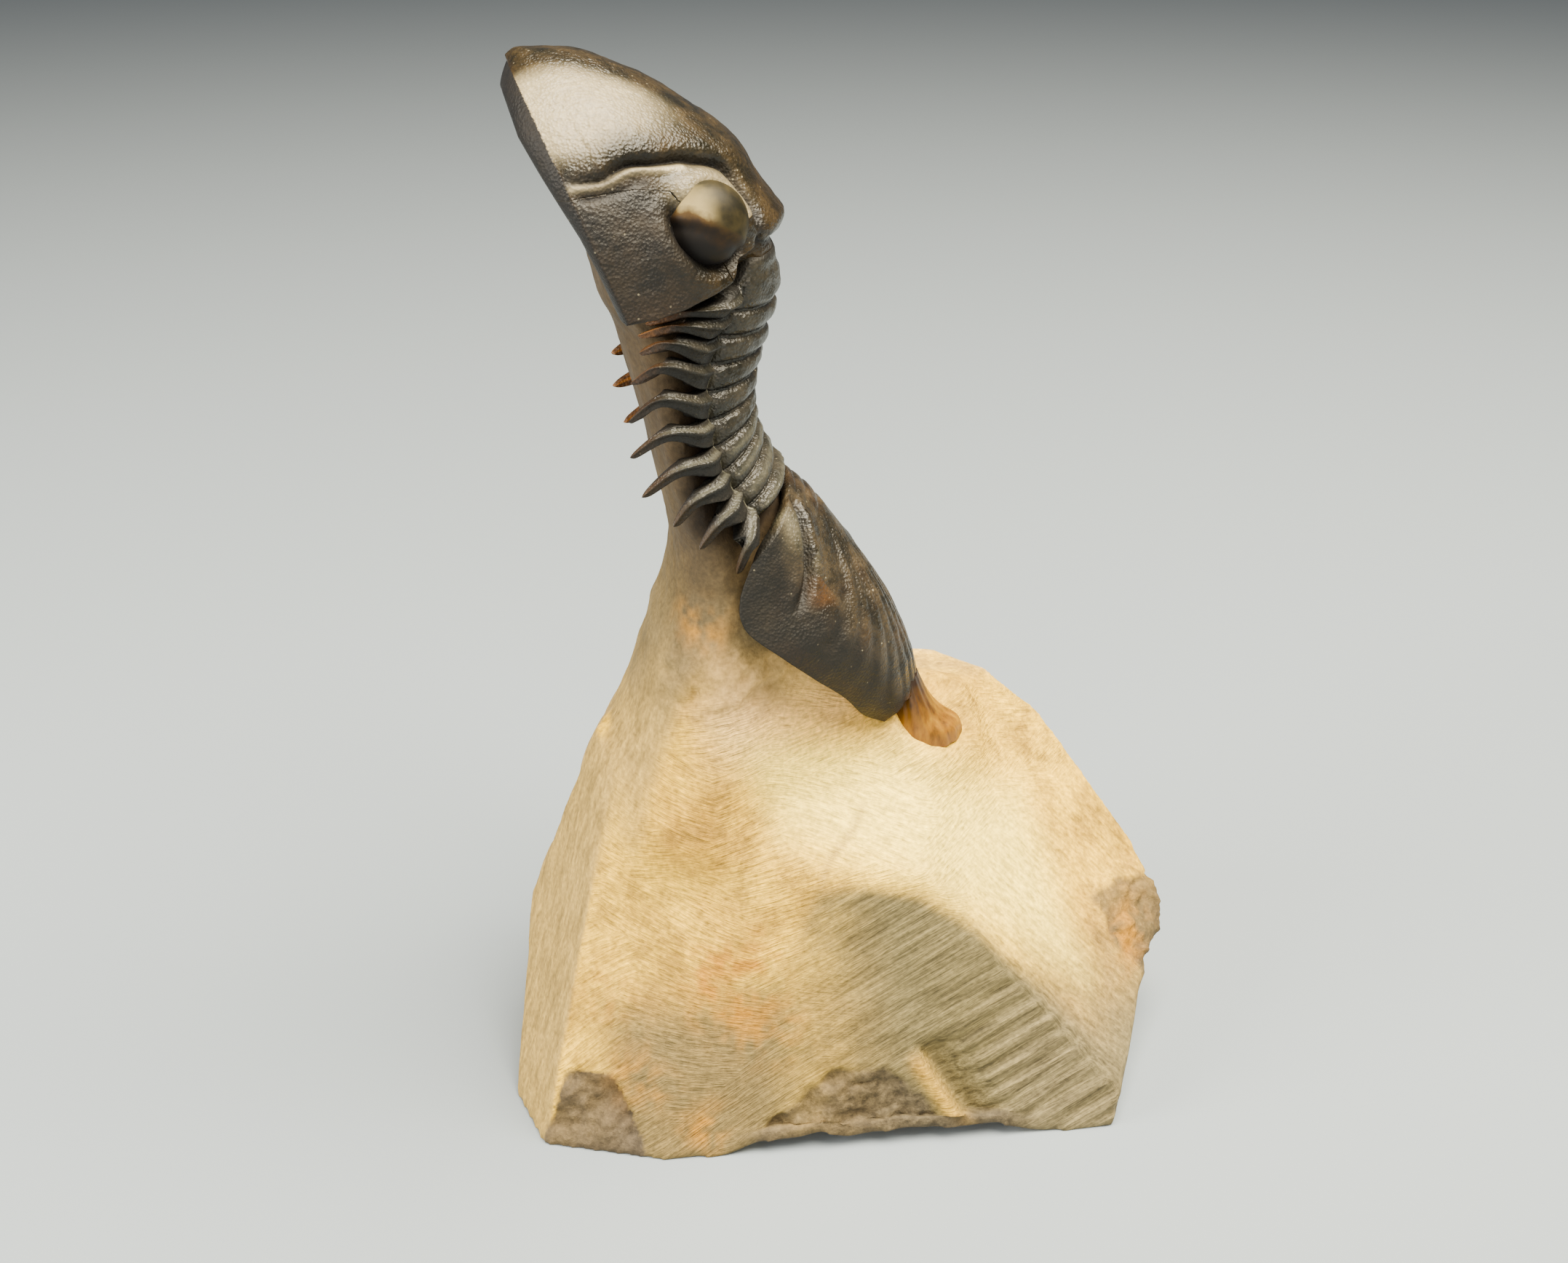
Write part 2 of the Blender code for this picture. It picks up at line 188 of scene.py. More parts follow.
# How deep the rim rolls under, by the distance along the shield, and how wide the roll is.
ROLL_DEPTH = [
    (0.0, 0.7), (1.8, 1.4), (4.6, 1.7), (7.7, 1.35), (10.9, 0.9), (13.0, 0.6), (16.0, 0.45), (25.0, 0.4),
]
ROLL_WIDTH = 4.2
RIM_END = 24.0
RIM_SLACK = 0.004
# Lines on the shield, in its own frame: along, distance from the middle plane, height over the rim.
GLABELLA_FURROW = [
    (8.5, 11.9, 0.3), (9.4, 11.5, 2.9), (9.3, 11.0, 4.4), (9.4, 10.5, 5.7), (10.2, 9.9, 7.5),
    (11.0, 8.9, 9.5), (11.8, 8.3, 10.6), (13.2, 7.1, 12.4), (14.6, 6.9, 12.9), (16.4, 7.1, 13.1),
    (17.6, 7.2, 13.3), (19.2, 7.6, 13.2), (21.2, 7.7, 12.7),
]
CREAM_RIDGE = [
    (9.0, 11.8, 0.5), (9.7, 11.6, 2.7), (9.8, 11.1, 4.3), (10.0, 10.6, 5.6), (10.9, 9.9, 7.4),
    (11.8, 9.0, 9.2),
]
SHORT_FURROW = [(10.1, 12.1, 0.8), (10.6, 12.1, 2.7), (10.9, 11.8, 4.2), (10.9, 11.4, 5.3), (11.2, 11.0, 6.2)]
RING_FURROW = [(22.3, 0.0, 14.7), (22.1, 2.5, 14.6), (21.7, 4.8, 14.3), (21.2, 6.6, 13.6), (20.4, 7.8, 13.0)]
EYE_CENTRE = np.array([16.7, 9.4, 9.25])
EYE_RADII = np.array([3.5, 2.9, 3.6])
LENS_WALL = np.array([0.68, 0.38, -0.62])
# The suture from the side: along, height. The gap is the hairline between the plates.
SUTURE = [
    (9.0, -4.0), (9.8, 0.0), (10.6, 2.7), (11.4, 5.2), (12.8, 7.6), (15.9, 8.6), (19.4, 9.2), (26.0, 9.8),
]
SUTURE_GAP = 0.03


def curve_through(points, steps):
    """A smooth curve through points, with this many steps between each two."""
    ends = np.array([points[0], *points, points[-1]], float)
    made = []
    for before, start, end, after in zip(ends, ends[1:], ends[2:], ends[3:]):
        for t in np.arange(steps) / steps:
            bend = (2 * before - 5 * start + 4 * end - after) * t ** 2
            made.append(0.5 * (2 * start + (end - before) * t + bend
                               + (3 * start - before - 3 * end + after) * t ** 3))
    return np.array([*made, ends[-1]])


def table(rows, spots):
    """The values at some spots of a table of (spot, value) rows."""
    return np.interp(spots, [row[0] for row in rows], [row[1] for row in rows])


def ramp(low, high, values):
    """A smooth rise from 0 to 1 between two values, or a fall where the first is higher."""
    share = np.clip((values - low) / (high - low), 0, 1)
    return share * share * (3 - 2 * share)


def bell(distance, reach):
    """1 where the distance is 0, fading out by about twice the reach."""
    return np.exp(-(distance / reach) ** 2)


def from_line(places, points):
    """Each place's distance from a curve, how far along that is, its offset and the curve's direction."""
    line = curve_through(points, 12)
    closest = np.full(places.shape[:-1], 1e9)
    index = np.zeros(places.shape[:-1], int)
    for number, point in enumerate(line):
        gap = ((places - point) ** 2).sum(-1)
        index = np.where(gap < closest, number, index)
        closest = np.minimum(closest, gap)
    return np.sqrt(closest), index / (len(line) - 1), places - line[index], np.gradient(line, axis=0)[index]


def sheet_normals(sheet, middle):
    """Unit normals of a grid of points, pointing away from a place."""
    normals = np.cross(np.gradient(sheet, axis=1), np.gradient(sheet, axis=0))
    normals /= np.maximum(np.linalg.norm(normals, axis=-1, keepdims=True), 1e-9)
    return normals * np.sign((normals * (sheet - middle)).sum(-1, keepdims=True))


def new_piece(name, points, faces, masks):
    """An object from points in mm, its faces outward; masks become attributes of its points."""
    mesh = bpy.data.meshes.new(name)
    mesh.from_pydata(points * MM, [], faces)
    for mask, values in masks.items():
        mesh.attributes.new(mask, "FLOAT", "POINT").data.foreach_set("value", values.astype(np.float32))
    work = bmesh.new()
    work.from_mesh(mesh)
    bmesh.ops.remove_doubles(work, verts=work.verts, dist=5e-8)
    bmesh.ops.recalc_face_normals(work, faces=work.faces)
    work.to_mesh(mesh)
    work.free()
    made = bpy.data.objects.new(name, mesh)
    bpy.context.scene.collection.objects.link(made)
    return made


def body_between(name, outer, inner, masks, inner_masks=None):
    """A closed piece between two grids of points in mm, with side walls."""
    inner_masks = {**masks, **(inner_masks or {})}
    rows, columns = outer.shape[:2]
    index = np.arange(rows * columns).reshape(rows, columns)
    quads = np.stack([index[:-1, :-1], index[:-1, 1:], index[1:, 1:], index[1:, :-1]], -1).reshape(-1, 4)
    border = np.concatenate([index[0, :-1], index[:-1, -1], index[-1, :0:-1], index[:0:-1, 0]])
    after = np.roll(border, -1)
    count = rows * columns
    walls = np.stack([after, border, border + count, after + count], -1)
    faces = np.concatenate([quads, quads[:, ::-1] + count, walls])
    points = np.concatenate([outer.reshape(-1, 3), inner.reshape(-1, 3)])
    both = {
        mask: np.concatenate([values.reshape(-1), inner_masks[mask].reshape(-1)])
        for mask, values in masks.items()
    }
    made = new_piece(name, points, faces.tolist(), both)
    made.data.shade_smooth()
    return made


def lumps(places, size, seed):
    """Smooth noise from -1 to 1, in lumps of a size in mm."""
    spots = places / size + 31.7 * seed
    low = np.floor(spots).astype(np.int64)
    share = spots - low
    share = share * share * (3 - 2 * share)
    total = np.zeros(places.shape[:-1])
    for corner in np.ndindex(2, 2, 2):
        cell = (low + corner) * [73856093, 19349663, 83492791]
        number = cell[..., 0] ^ cell[..., 1] ^ cell[..., 2] ^ (seed * 982451653)
        number = (((number & 0xFFFFFF) * 1103515245 + 12345) >> 8) & 0xFFFF
        weight = np.prod(np.where(corner, share, 1 - share), axis=-1)
        total += weight * (number / 32767.5 - 1)
    return total


def head_place(places):
    return HEAD_FRONT + places @ HEAD_AXES


def head_dome(station, angle):
    """Places on the shield's plain vault, in its frame: station runs front to back, angle side to side."""
    profile = curve_through(HEAD_PROFILE, 12)
    spot = station ** 0.9 * (len(profile) - 1)
    top_along = np.interp(spot, np.arange(len(profile)), profile[:, 0])
    top_height = np.interp(spot, np.arange(len(profile)), profile[:, 1])
    turn = station * HEAD_TURN
    rim = HEAD_WIDEST_AT * (1 - np.cos(turn))
    half_width = HEAD_HALF_WIDTH * np.sin(np.minimum(turn, pi / 2))
    return np.stack([
        rim + (top_along - rim) * np.sin(angle), -half_width * np.cos(angle), top_height * np.sin(angle)
    ], -1), rim


angles = np.linspace(0, pi, HEAD_COLUMNS)
many = np.linspace(0, 1, 1200)
last_station = []
for angle in angles:
    line, _ = head_dome(many, angle)
    last_station.append(np.interp(table(HEAD_REAR, HEAD_HALF_WIDTH * abs(cos(angle))), line[:, 0], many))
stations = np.linspace(0.006, 1, HEAD_ROWS)[:, None] * np.array(last_station)[None, :]
vault, rim = head_dome(stations, angles[None, :])
lift = sheet_normals(vault, np.array([13.0, 0.0, 3.0]))
folded = vault.copy()
folded[..., 1] = np.abs(folded[..., 1])
along_head, from_middle, height = np.moveaxis(folded, -1, 0)

# The shield's relief in mm: the furrow, the glabella swelling over it, and the cheek sinking below it.
furrow_gap, along, offset, run = from_line(folded, GLABELLA_FURROW)
above = np.sign(run[..., 0] * offset[..., 2] - run[..., 2] * offset[..., 0])
above = np.where(along < 0.02, np.where(along_head < 8.9, 1.0, -1.0), above)
glabella = above > 0
depth = table([(0.0, 0.35), (0.1, 0.8), (0.25, 1.0), (0.6, 1.0), (0.75, 0.7), (1.0, 0.35)], along)
swelling = 0.55 * depth * (1 - np.exp(-furrow_gap / 0.7)) * bell(furrow_gap, 4.5)
relief = np.where(glabella, swelling, 0) - 0.75 * depth * bell(furrow_gap, 0.42)
relief -= np.where(above < 0, 0.20 * depth * bell(furrow_gap, 2.2), 0)
ridge_gap, along, _, _ = from_line(folded, CREAM_RIDGE)
relief += 0.42 * bell(ridge_gap, 0.38) * table([(0, 0.6), (0.3, 1.0), (0.7, 0.9), (1.0, 0.3)], along)
short_gap, along, _, _ = from_line(folded, SHORT_FURROW)
relief -= 0.38 * bell(short_gap, 0.34) * table([(0, 0.5), (0.3, 1.0), (0.8, 0.8), (1.0, 0.1)], along)
ring_gap, _, _, _ = from_line(folded, RING_FURROW)
relief -= 0.45 * bell(ring_gap, 0.5)
# Under the eye a groove follows the lens wall; over it the plate swells up to the eye's cap.
from_eye = (folded - EYE_CENTRE) / EYE_RADII
eye_reach = np.linalg.norm(from_eye, axis=-1)
eye_gap = (eye_reach - 1) * EYE_RADII.mean()
below_eye = (from_eye @ LENS_WALL) / eye_reach
groove_depth = ramp(-0.15, 0.45, below_eye)
relief -= 1.0 * groove_depth * bell(eye_gap - 0.25, 0.55)
relief += 0.25 * groove_depth * bell(eye_gap - 1.7, 0.8)
relief += 0.75 * ramp(0.05, -0.5, below_eye) * bell(eye_gap, 1.1) * (from_eye[..., 2] < 1.2)
relief += 0.06 * lumps(vault, 2.6, 1) + 0.045 * lumps(vault, 0.9, 2) + 0.02 * lumps(vault, 0.45, 3)
vault_relief = vault + lift * (relief * ramp(0.0, 0.9, height))[..., None]

# The rolled rim under the shield: the same columns, in the rim's plane, pushed down by the distance from it.
flat = np.zeros(relief.shape)
under = np.stack([rim + flat, vault[..., 1], flat], -1)
rim_turns = np.linspace(0, pi / 2, 160)
rim_line = np.stack([HEAD_WIDEST_AT * (1 - np.cos(rim_turns)), HEAD_HALF_WIDTH * np.sin(rim_turns)], -1)
rim_line = np.concatenate([rim_line, [[RIM_END, HEAD_HALF_WIDTH]]])
inside = np.full(relief.shape, 1e9)
flat_under = np.abs(under[..., :2])
for start, end in zip(rim_line, rim_line[1:]):
    run = end - start
    reach = np.clip((flat_under - start) @ run / (run @ run), 0, 1)
    inside = np.minimum(inside, np.linalg.norm(flat_under - start - reach[..., None] * run, axis=-1))
inside = np.maximum(inside - RIM_SLACK, 0) / ROLL_WIDTH
roll = np.sin(pi * np.clip(inside, 0, 1) ** 0.75) * (inside < 1)
under[..., 2] = -table(ROLL_DEPTH, under[..., 0]) * roll + 0.9 * ramp(0.85, 1.25, inside)

# A painted highlight: the glabella's front flank is painted paler where the light shines off it.
painted_highlight_front = ramp(3.0, 5.6, from_middle) * ramp(0.9, 3.6, furrow_gap)
painted_highlight_front *= ramp(11.5, 4.5, along_head) * ramp(12.5, 7.5, height)
head_masks = {
    # Pale: the cream ridge, its own colour with a painted highlight on its crest, the glabella's painted
    # highlight.
    "pale": np.clip(
        0.9 * bell(ridge_gap, 0.34) + 0.55 * glabella * painted_highlight_front
        + 0.35 * bell(eye_gap, 1.3) * ramp(0.1, -0.4, below_eye) * (from_eye[..., 0] < 0.4), 0, 1),
    "rust": np.clip(
        0.8 * ramp(18.0, 21.5, along_head) * ramp(7.0, 1.5, height)
        + 0.4 * bell(height, 0.25) + 0.15 * ramp(20.5, 22.5, along_head)
        + 0.12 * ramp(14.0, 17.0, along_head) * ramp(9.0, 12.0, height), 0, 1),
    # Painted shade: dark in the furrows, in the groove under the eye and on the cheek below the eye.
    "deep": np.clip(
        bell(furrow_gap, 0.55) + 0.9 * groove_depth * bell(eye_gap, 0.8)
        + 0.7 * bell(short_gap, 0.3) + 0.5 * bell(ring_gap, 0.4)
        + 0.7 * ramp(8.0, 12.0, along_head) * ramp(8.5, 5.0, height), 0, 1),
    "stone": flat,
}
# The underside is painted dark all over as painted shade; only the rock inside the roll keeps its own tan.
under_masks = {"pale": flat, "rust": flat, "deep": flat + 1, "stone": ramp(0.85, 1.15, inside)}
whole_head = body_between("whole head", head_place(vault_relief), head_place(under), head_masks, under_masks)


def shell_material(name, dark, brown, pale, rust, deep):
    """Fossil calcite with a soft polish, mottled by the rock's minerals and pitted by the needle."""
    made, shader, place = new_material(name)
    # Mottling 2.5 mm across, grain 0.35 mm and pits 0.25 mm across.
    cloud = noise(made, place, 400.0, 6.0, 0.65)
    grain = noise(made, place, 2600.0, 4.0, 0.6)
    pits = node(made, "TexVoronoi", {}, {"Vector": place, "Scale": 3600.0, "Randomness": 1.0})
    mottle = ranged(made, cloud, 0.40, 0.66)
    colour = mixed(made, mottle, linear(dark), linear(brown))
    colour = mixed(made, 1.0, colour, ranged(made, grain, 0.30, 0.72, 0.6, 1.35), "MULTIPLY")
    # Besides the calcite's own rust and rock, the pale tint paints highlights and the near-black one paints
    # shade.
    tints = (("rust", rust, 0.8), ("pale", pale, 0.9), ("deep", deep, 0.9), ("stone", "9A8468", 1.0))
    for mask, tint, strength in tints:
        broken = node(made, "Math", {"operation": "MULTIPLY_ADD"}, {0: grain, 1: 1.2, 2: 0.35})
        share = product(made, level_of(made, mask), broken, use_clamp=True)
        colour = mixed(made, product(made, share, strength), colour, linear(tint))
    # Stray white calcite flecks, 0.15 mm across.
    flecks = node(made, "TexVoronoi", {}, {"Vector": place, "Scale": 800.0, "Randomness": 1.0})
    flecks = product(made, ranged(made, flecks, 0.09, 0.05, 0.0, 0.45), mottle)
    colour = mixed(made, flecks, colour, linear("B8AE90"))
    polish = ranged(made, cloud, 0.3, 0.7, 0.22, 0.40)
    painted_shade_level = level_of(made, "deep")
    polish = node(made, "Math", {"operation": "MULTIPLY_ADD"}, {0: painted_shade_level, 1: 0.30, 2: polish})
    bumps = node(made, "Bump", {}, {"Height": pits.outputs["Distance"], "Strength": 0.8, "Distance": 0.00008})
    bumps = node(made, "Bump", {}, {"Height": grain, "Strength": 0.6, "Distance": 0.00011, "Normal": bumps})
    finish_surface(
        made, shader, {"Base Color": colour, "Roughness": polish, "Normal": bumps},
        {"IOR": 1.55, "Specular IOR Level": 0.24})
    return made


def cheek_cutter(name, outline, from_side, to_side):
    """A straight cutter with a side-view outline in the shield's frame."""
    near = np.array([[along, from_side, height] for along, height in outline])
    far = np.array([[along, to_side, height] for along, height in outline])
    count = len(outline)
    faces = [list(range(count)), list(range(2 * count - 1, count - 1, -1))]
    faces += [[k, (k + 1) % count, (k + 1) % count + count, k + count] for k in range(count)]
    return new_piece(name, head_place(np.concatenate([near, far])), faces, {})


def apply_step(piece, step):
    bpy.ops.object.select_all(action="DESELECT")
    piece.select_set(True)
    bpy.context.view_layer.objects.active = piece
    bpy.ops.object.modifier_apply(modifier=step.name)


def cut(piece, tool, operation):
    """Applies an exact Boolean to a piece."""
    step = piece.modifiers.new("cut", "BOOLEAN")
    step.object = tool
    step.operation = operation
    step.solver = "EXACT"
    step.material_mode = "TRANSFER"
    apply_step(piece, step)


def copy_of(piece, name):
    made = piece.copy()
    made.data = piece.data.copy()
    made.name = name
    made.data.name = name
    bpy.context.scene.collection.objects.link(made)
    return made


head_shell = shell_material("polished calcite of the head", "16140C", "302614", "B9AA86", "38270F", "0C0A0B")
BELOW_CHEEKS = (26.0, -4.0)
lower = [(along, height - SUTURE_GAP) for along, height in SUTURE] + [BELOW_CHEEKS]
upper = [(along, height + SUTURE_GAP) for along, height in SUTURE] + [BELOW_CHEEKS]
both_cheeks = cheek_cutter("both cheeks", upper, -40, 40)
cranidium = copy_of(whole_head, "middle_plate_of_the_head")
cut(cranidium, both_cheeks, "DIFFERENCE")
head_pieces = [(cranidium, "cranidium")]
for side, sign in (("left", -1), ("right", 1)):
    half = cheek_cutter("cheek half", lower, sign * 3.0, sign * 40.0)
    cheek = copy_of(whole_head, f"cheek_plate_{side}")
    cut(cheek, half, "INTERSECT")
    bpy.data.objects.remove(half, do_unlink=True)
    head_pieces.append((cheek, f"free_cheek_{side}"))
bpy.data.objects.remove(both_cheeks, do_unlink=True)
bpy.data.objects.remove(whole_head, do_unlink=True)
for piece, name in head_pieces:
    piece.data.materials.clear()
    piece.data.materials.append(head_shell)
    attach(piece, "root")
    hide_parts(name)


# The two eyes: a smooth cream cap over a curved wall of lenses that looks back and outward, brown at its
# upper edge and violet-grey below. All of it is calcite, grown in one with its plate and polished with it.
eye_calcite, eye_shader, eye_place = new_material("polished calcite of the eye")
haze = noise(eye_calcite, eye_place, 700.0, 4.0)
wander = node(eye_calcite, "Math", {"operation": "MULTIPLY_ADD"}, {0: haze, 1: 0.34, 2: -0.17})
level = node(eye_calcite, "Math", {"operation": "ADD"}, {0: level_of(eye_calcite, "wall"), 1: wander})
# From the cap's cream through a brown band to near-black: the wall's dark is partly its own, partly painted
# shade.
eye_colour = node(eye_calcite, "ValToRGB", {"stops": [
    (0.0, "2A2617"), (0.15, "64593A"), (0.36, "82744E"), (0.47, "3C2C14"), (0.56, "241A10"), (0.66, "171412"),
    (1.0, "0F0D0E"),
]}, {"Fac": level})
olive = mixed(eye_calcite, ranged(eye_calcite, haze, 0.35, 0.65), linear("15130A"), linear("2E2816"))
eye_colour = mixed(eye_calcite, level_of(eye_calcite, "rear"), eye_colour, olive)
eye_bump = node(eye_calcite, "Bump", {}, {"Height": haze, "Strength": 0.25, "Distance": 0.00006})
finish_surface(
    eye_calcite, eye_shader, {"Base Color": eye_colour, "Normal": eye_bump},
    {"Roughness": 0.52, "IOR": 1.6, "Specular IOR Level": 0.10})
for side, sign in (("left", -1), ("right", 1)):
    bpy.ops.object.select_all(action="DESELECT")
    bpy.ops.mesh.primitive_uv_sphere_add(segments=128, ring_count=80, radius=1)
    eye = bpy.context.object
    eye.name = f"eye_ball_{side}"
    ball = np.empty(len(eye.data.vertices) * 3)
    eye.data.vertices.foreach_get("co", ball)
    ball = ball.reshape(-1, 3)
    toward = ball @ (LENS_WALL / np.linalg.norm(LENS_WALL))
    rearward = ball @ np.array([0.38, -0.15, 0.91])
    # A low brim over the lens wall and a shallow hollow in it.
    swell = 1 + 0.03 * bell(toward - 0.24, 0.12) - 0.05 * bell(toward - 0.46, 0.14)
    shaped = EYE_CENTRE + ball * EYE_RADII * swell[:, None]
    shaped[:, 1] *= sign
    eye.data.vertices.foreach_set("co", (head_place(shaped) * MM).reshape(-1))
    sag = toward + 0.25 * rearward ** 2 - 0.26
    olive_share = ramp(-0.35, 0.2, rearward) * ramp(0.32, 0.16, toward)
    for mask, values in (("wall", 0.5 + 0.5 * sag), ("rear", olive_share)):
        levels = eye.data.attributes.new(mask, "FLOAT", "POINT")
        levels.data.foreach_set("value", values.astype(np.float32))
    if sign < 0:
        eye.data.flip_normals()
    eye.data.shade_smooth()
    eye.data.materials.append(eye_calcite)
    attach(eye, "root")
    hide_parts(f"eye_{side}")


# The ten rings of the thorax: each is an arched band over the back that ends each side in a rib swept back to
# a free point. Each ring's rear edge lies over the next one's front edge, which is how the animal could bend.
# Distance from the middle plane at the five keys of a half ring: back, furrow, first and second bend, tip.
SEGMENT_SIDE = [0.0, 7.5, 9.9, 10.9, 9.0]
SEGMENTS = [
    [(-2.9, 80.9), (-7.2, 80.9), (-8.4, 80.6), (-11.8, 80.0), (-15.2, 79.4)],
    [(-3.2, 78.7), (-8.1, 79.0), (-9.6, 78.9), (-12.6, 78.8), (-15.9, 78.4)],
    [(-3.9, 76.4), (-9.2, 76.6), (-10.8, 76.9), (-13.4, 77.3), (-15.8, 76.9)],
    [(-4.5, 74.5), (-9.7, 74.2), (-11.1, 74.8), (-14.2, 75.3), (-16.6, 74.3)],
    [(-4.9, 72.5), (-9.9, 71.6), (-11.2, 72.1), (-14.3, 72.4), (-16.9, 70.9)],
    [(-5.1, 70.6), (-9.6, 69.1), (-11.0, 69.4), (-13.9, 69.3), (-16.9, 67.7)],
    [(-5.0, 69.0), (-9.0, 66.6), (-10.3, 66.7), (-13.0, 66.0), (-16.0, 64.0)],
    [(-4.7, 67.3), (-8.2, 64.6), (-9.4, 64.3), (-11.6, 63.1), (-13.3, 61.1)],
    [(-3.9, 65.5), (-7.1, 62.9), (-7.9, 62.2), (-9.4, 61.0), (-11.0, 58.8)],
    [(-2.6, 63.6), (-5.9, 61.4), (-6.3, 60.2), (-6.9, 58.6), (-7.7, 56.2)],
]
BEFORE_FIRST = [(-2.9, 82.0), (-6.6, 82.6), (-8.0, 82.0), (-11.4, 81.0), (-15.0, 80.2)]
AFTER_LAST = [(-1.9, 62.6), (-5.0, 60.7), (-5.4, 59.0), (-5.9, 57.0), (-6.4, 55.0)]
BODY_MIDDLE = [-13.0, 0, 0]
HALF_WIDTH = [1.5, 1.35, 1.05, 0.56, 0.56]
CROWN = [0.62, 0.45, 0.62, 0.40, 0.08]
SEGMENT_DEPTH = [1.7, 1.7, 1.7, 1.3, 0.35]
TIP_HOOK = 0.8
FIRST_RING_REACH = 3.3
OVERLAP = 1.06
RIB_RIDGE = -0.38
RING_GROOVE = -0.62
LEVEL_TIP_FIRST = [3.2, 0.0, 0.0]
LEVEL_TIP = [0.6, 1.6, 0.3]
LEVEL_TIP_SAG = 1.2
ARCH_STEPS = 45
RIB_STEPS = 26
ACROSS_STEPS = 22
thorax_shell = shell_material(
    "polished calcite of the thorax", "1D1C17", "302C23", "8F8D7A", "B4722A", "0E0C09")


def band_line(row):
    """The middle line of one half of a ring, from the back to the rib's tip."""
    keys = np.array([(x, side, z) for (x, z), side in zip(row, SEGMENT_SIDE)])
    turn = (pi / 2) * np.arange(ARCH_STEPS) / ARCH_STEPS
    ring, furrow = keys[0], keys[1]
    arch = np.stack([
        ring[0] + (furrow[0] - ring[0]) * (1 - np.cos(turn)),
        furrow[1] * np.sin(turn),
        ring[2] + (furrow[2] - ring[2]) * (1 - np.cos(turn)),
    ], -1)
    return np.concatenate([arch, curve_through(keys[1:], RIB_STEPS)])


def along_band(values):
    """A value at each point of a half ring's line, from its value at the five keys."""
    arch = values[0] + (values[1] - values[0]) * np.arange(ARCH_STEPS) / ARCH_STEPS
    rib = np.interp(np.arange(3 * RIB_STEPS + 1) / RIB_STEPS, [0, 1, 2, 3], values[1:])
    return np.concatenate([arch, rib])


def both_sides(far, near):
    """One grid from tip to tip: the far half turned round, then the near half."""
    return np.concatenate([far[:0:-1], near])


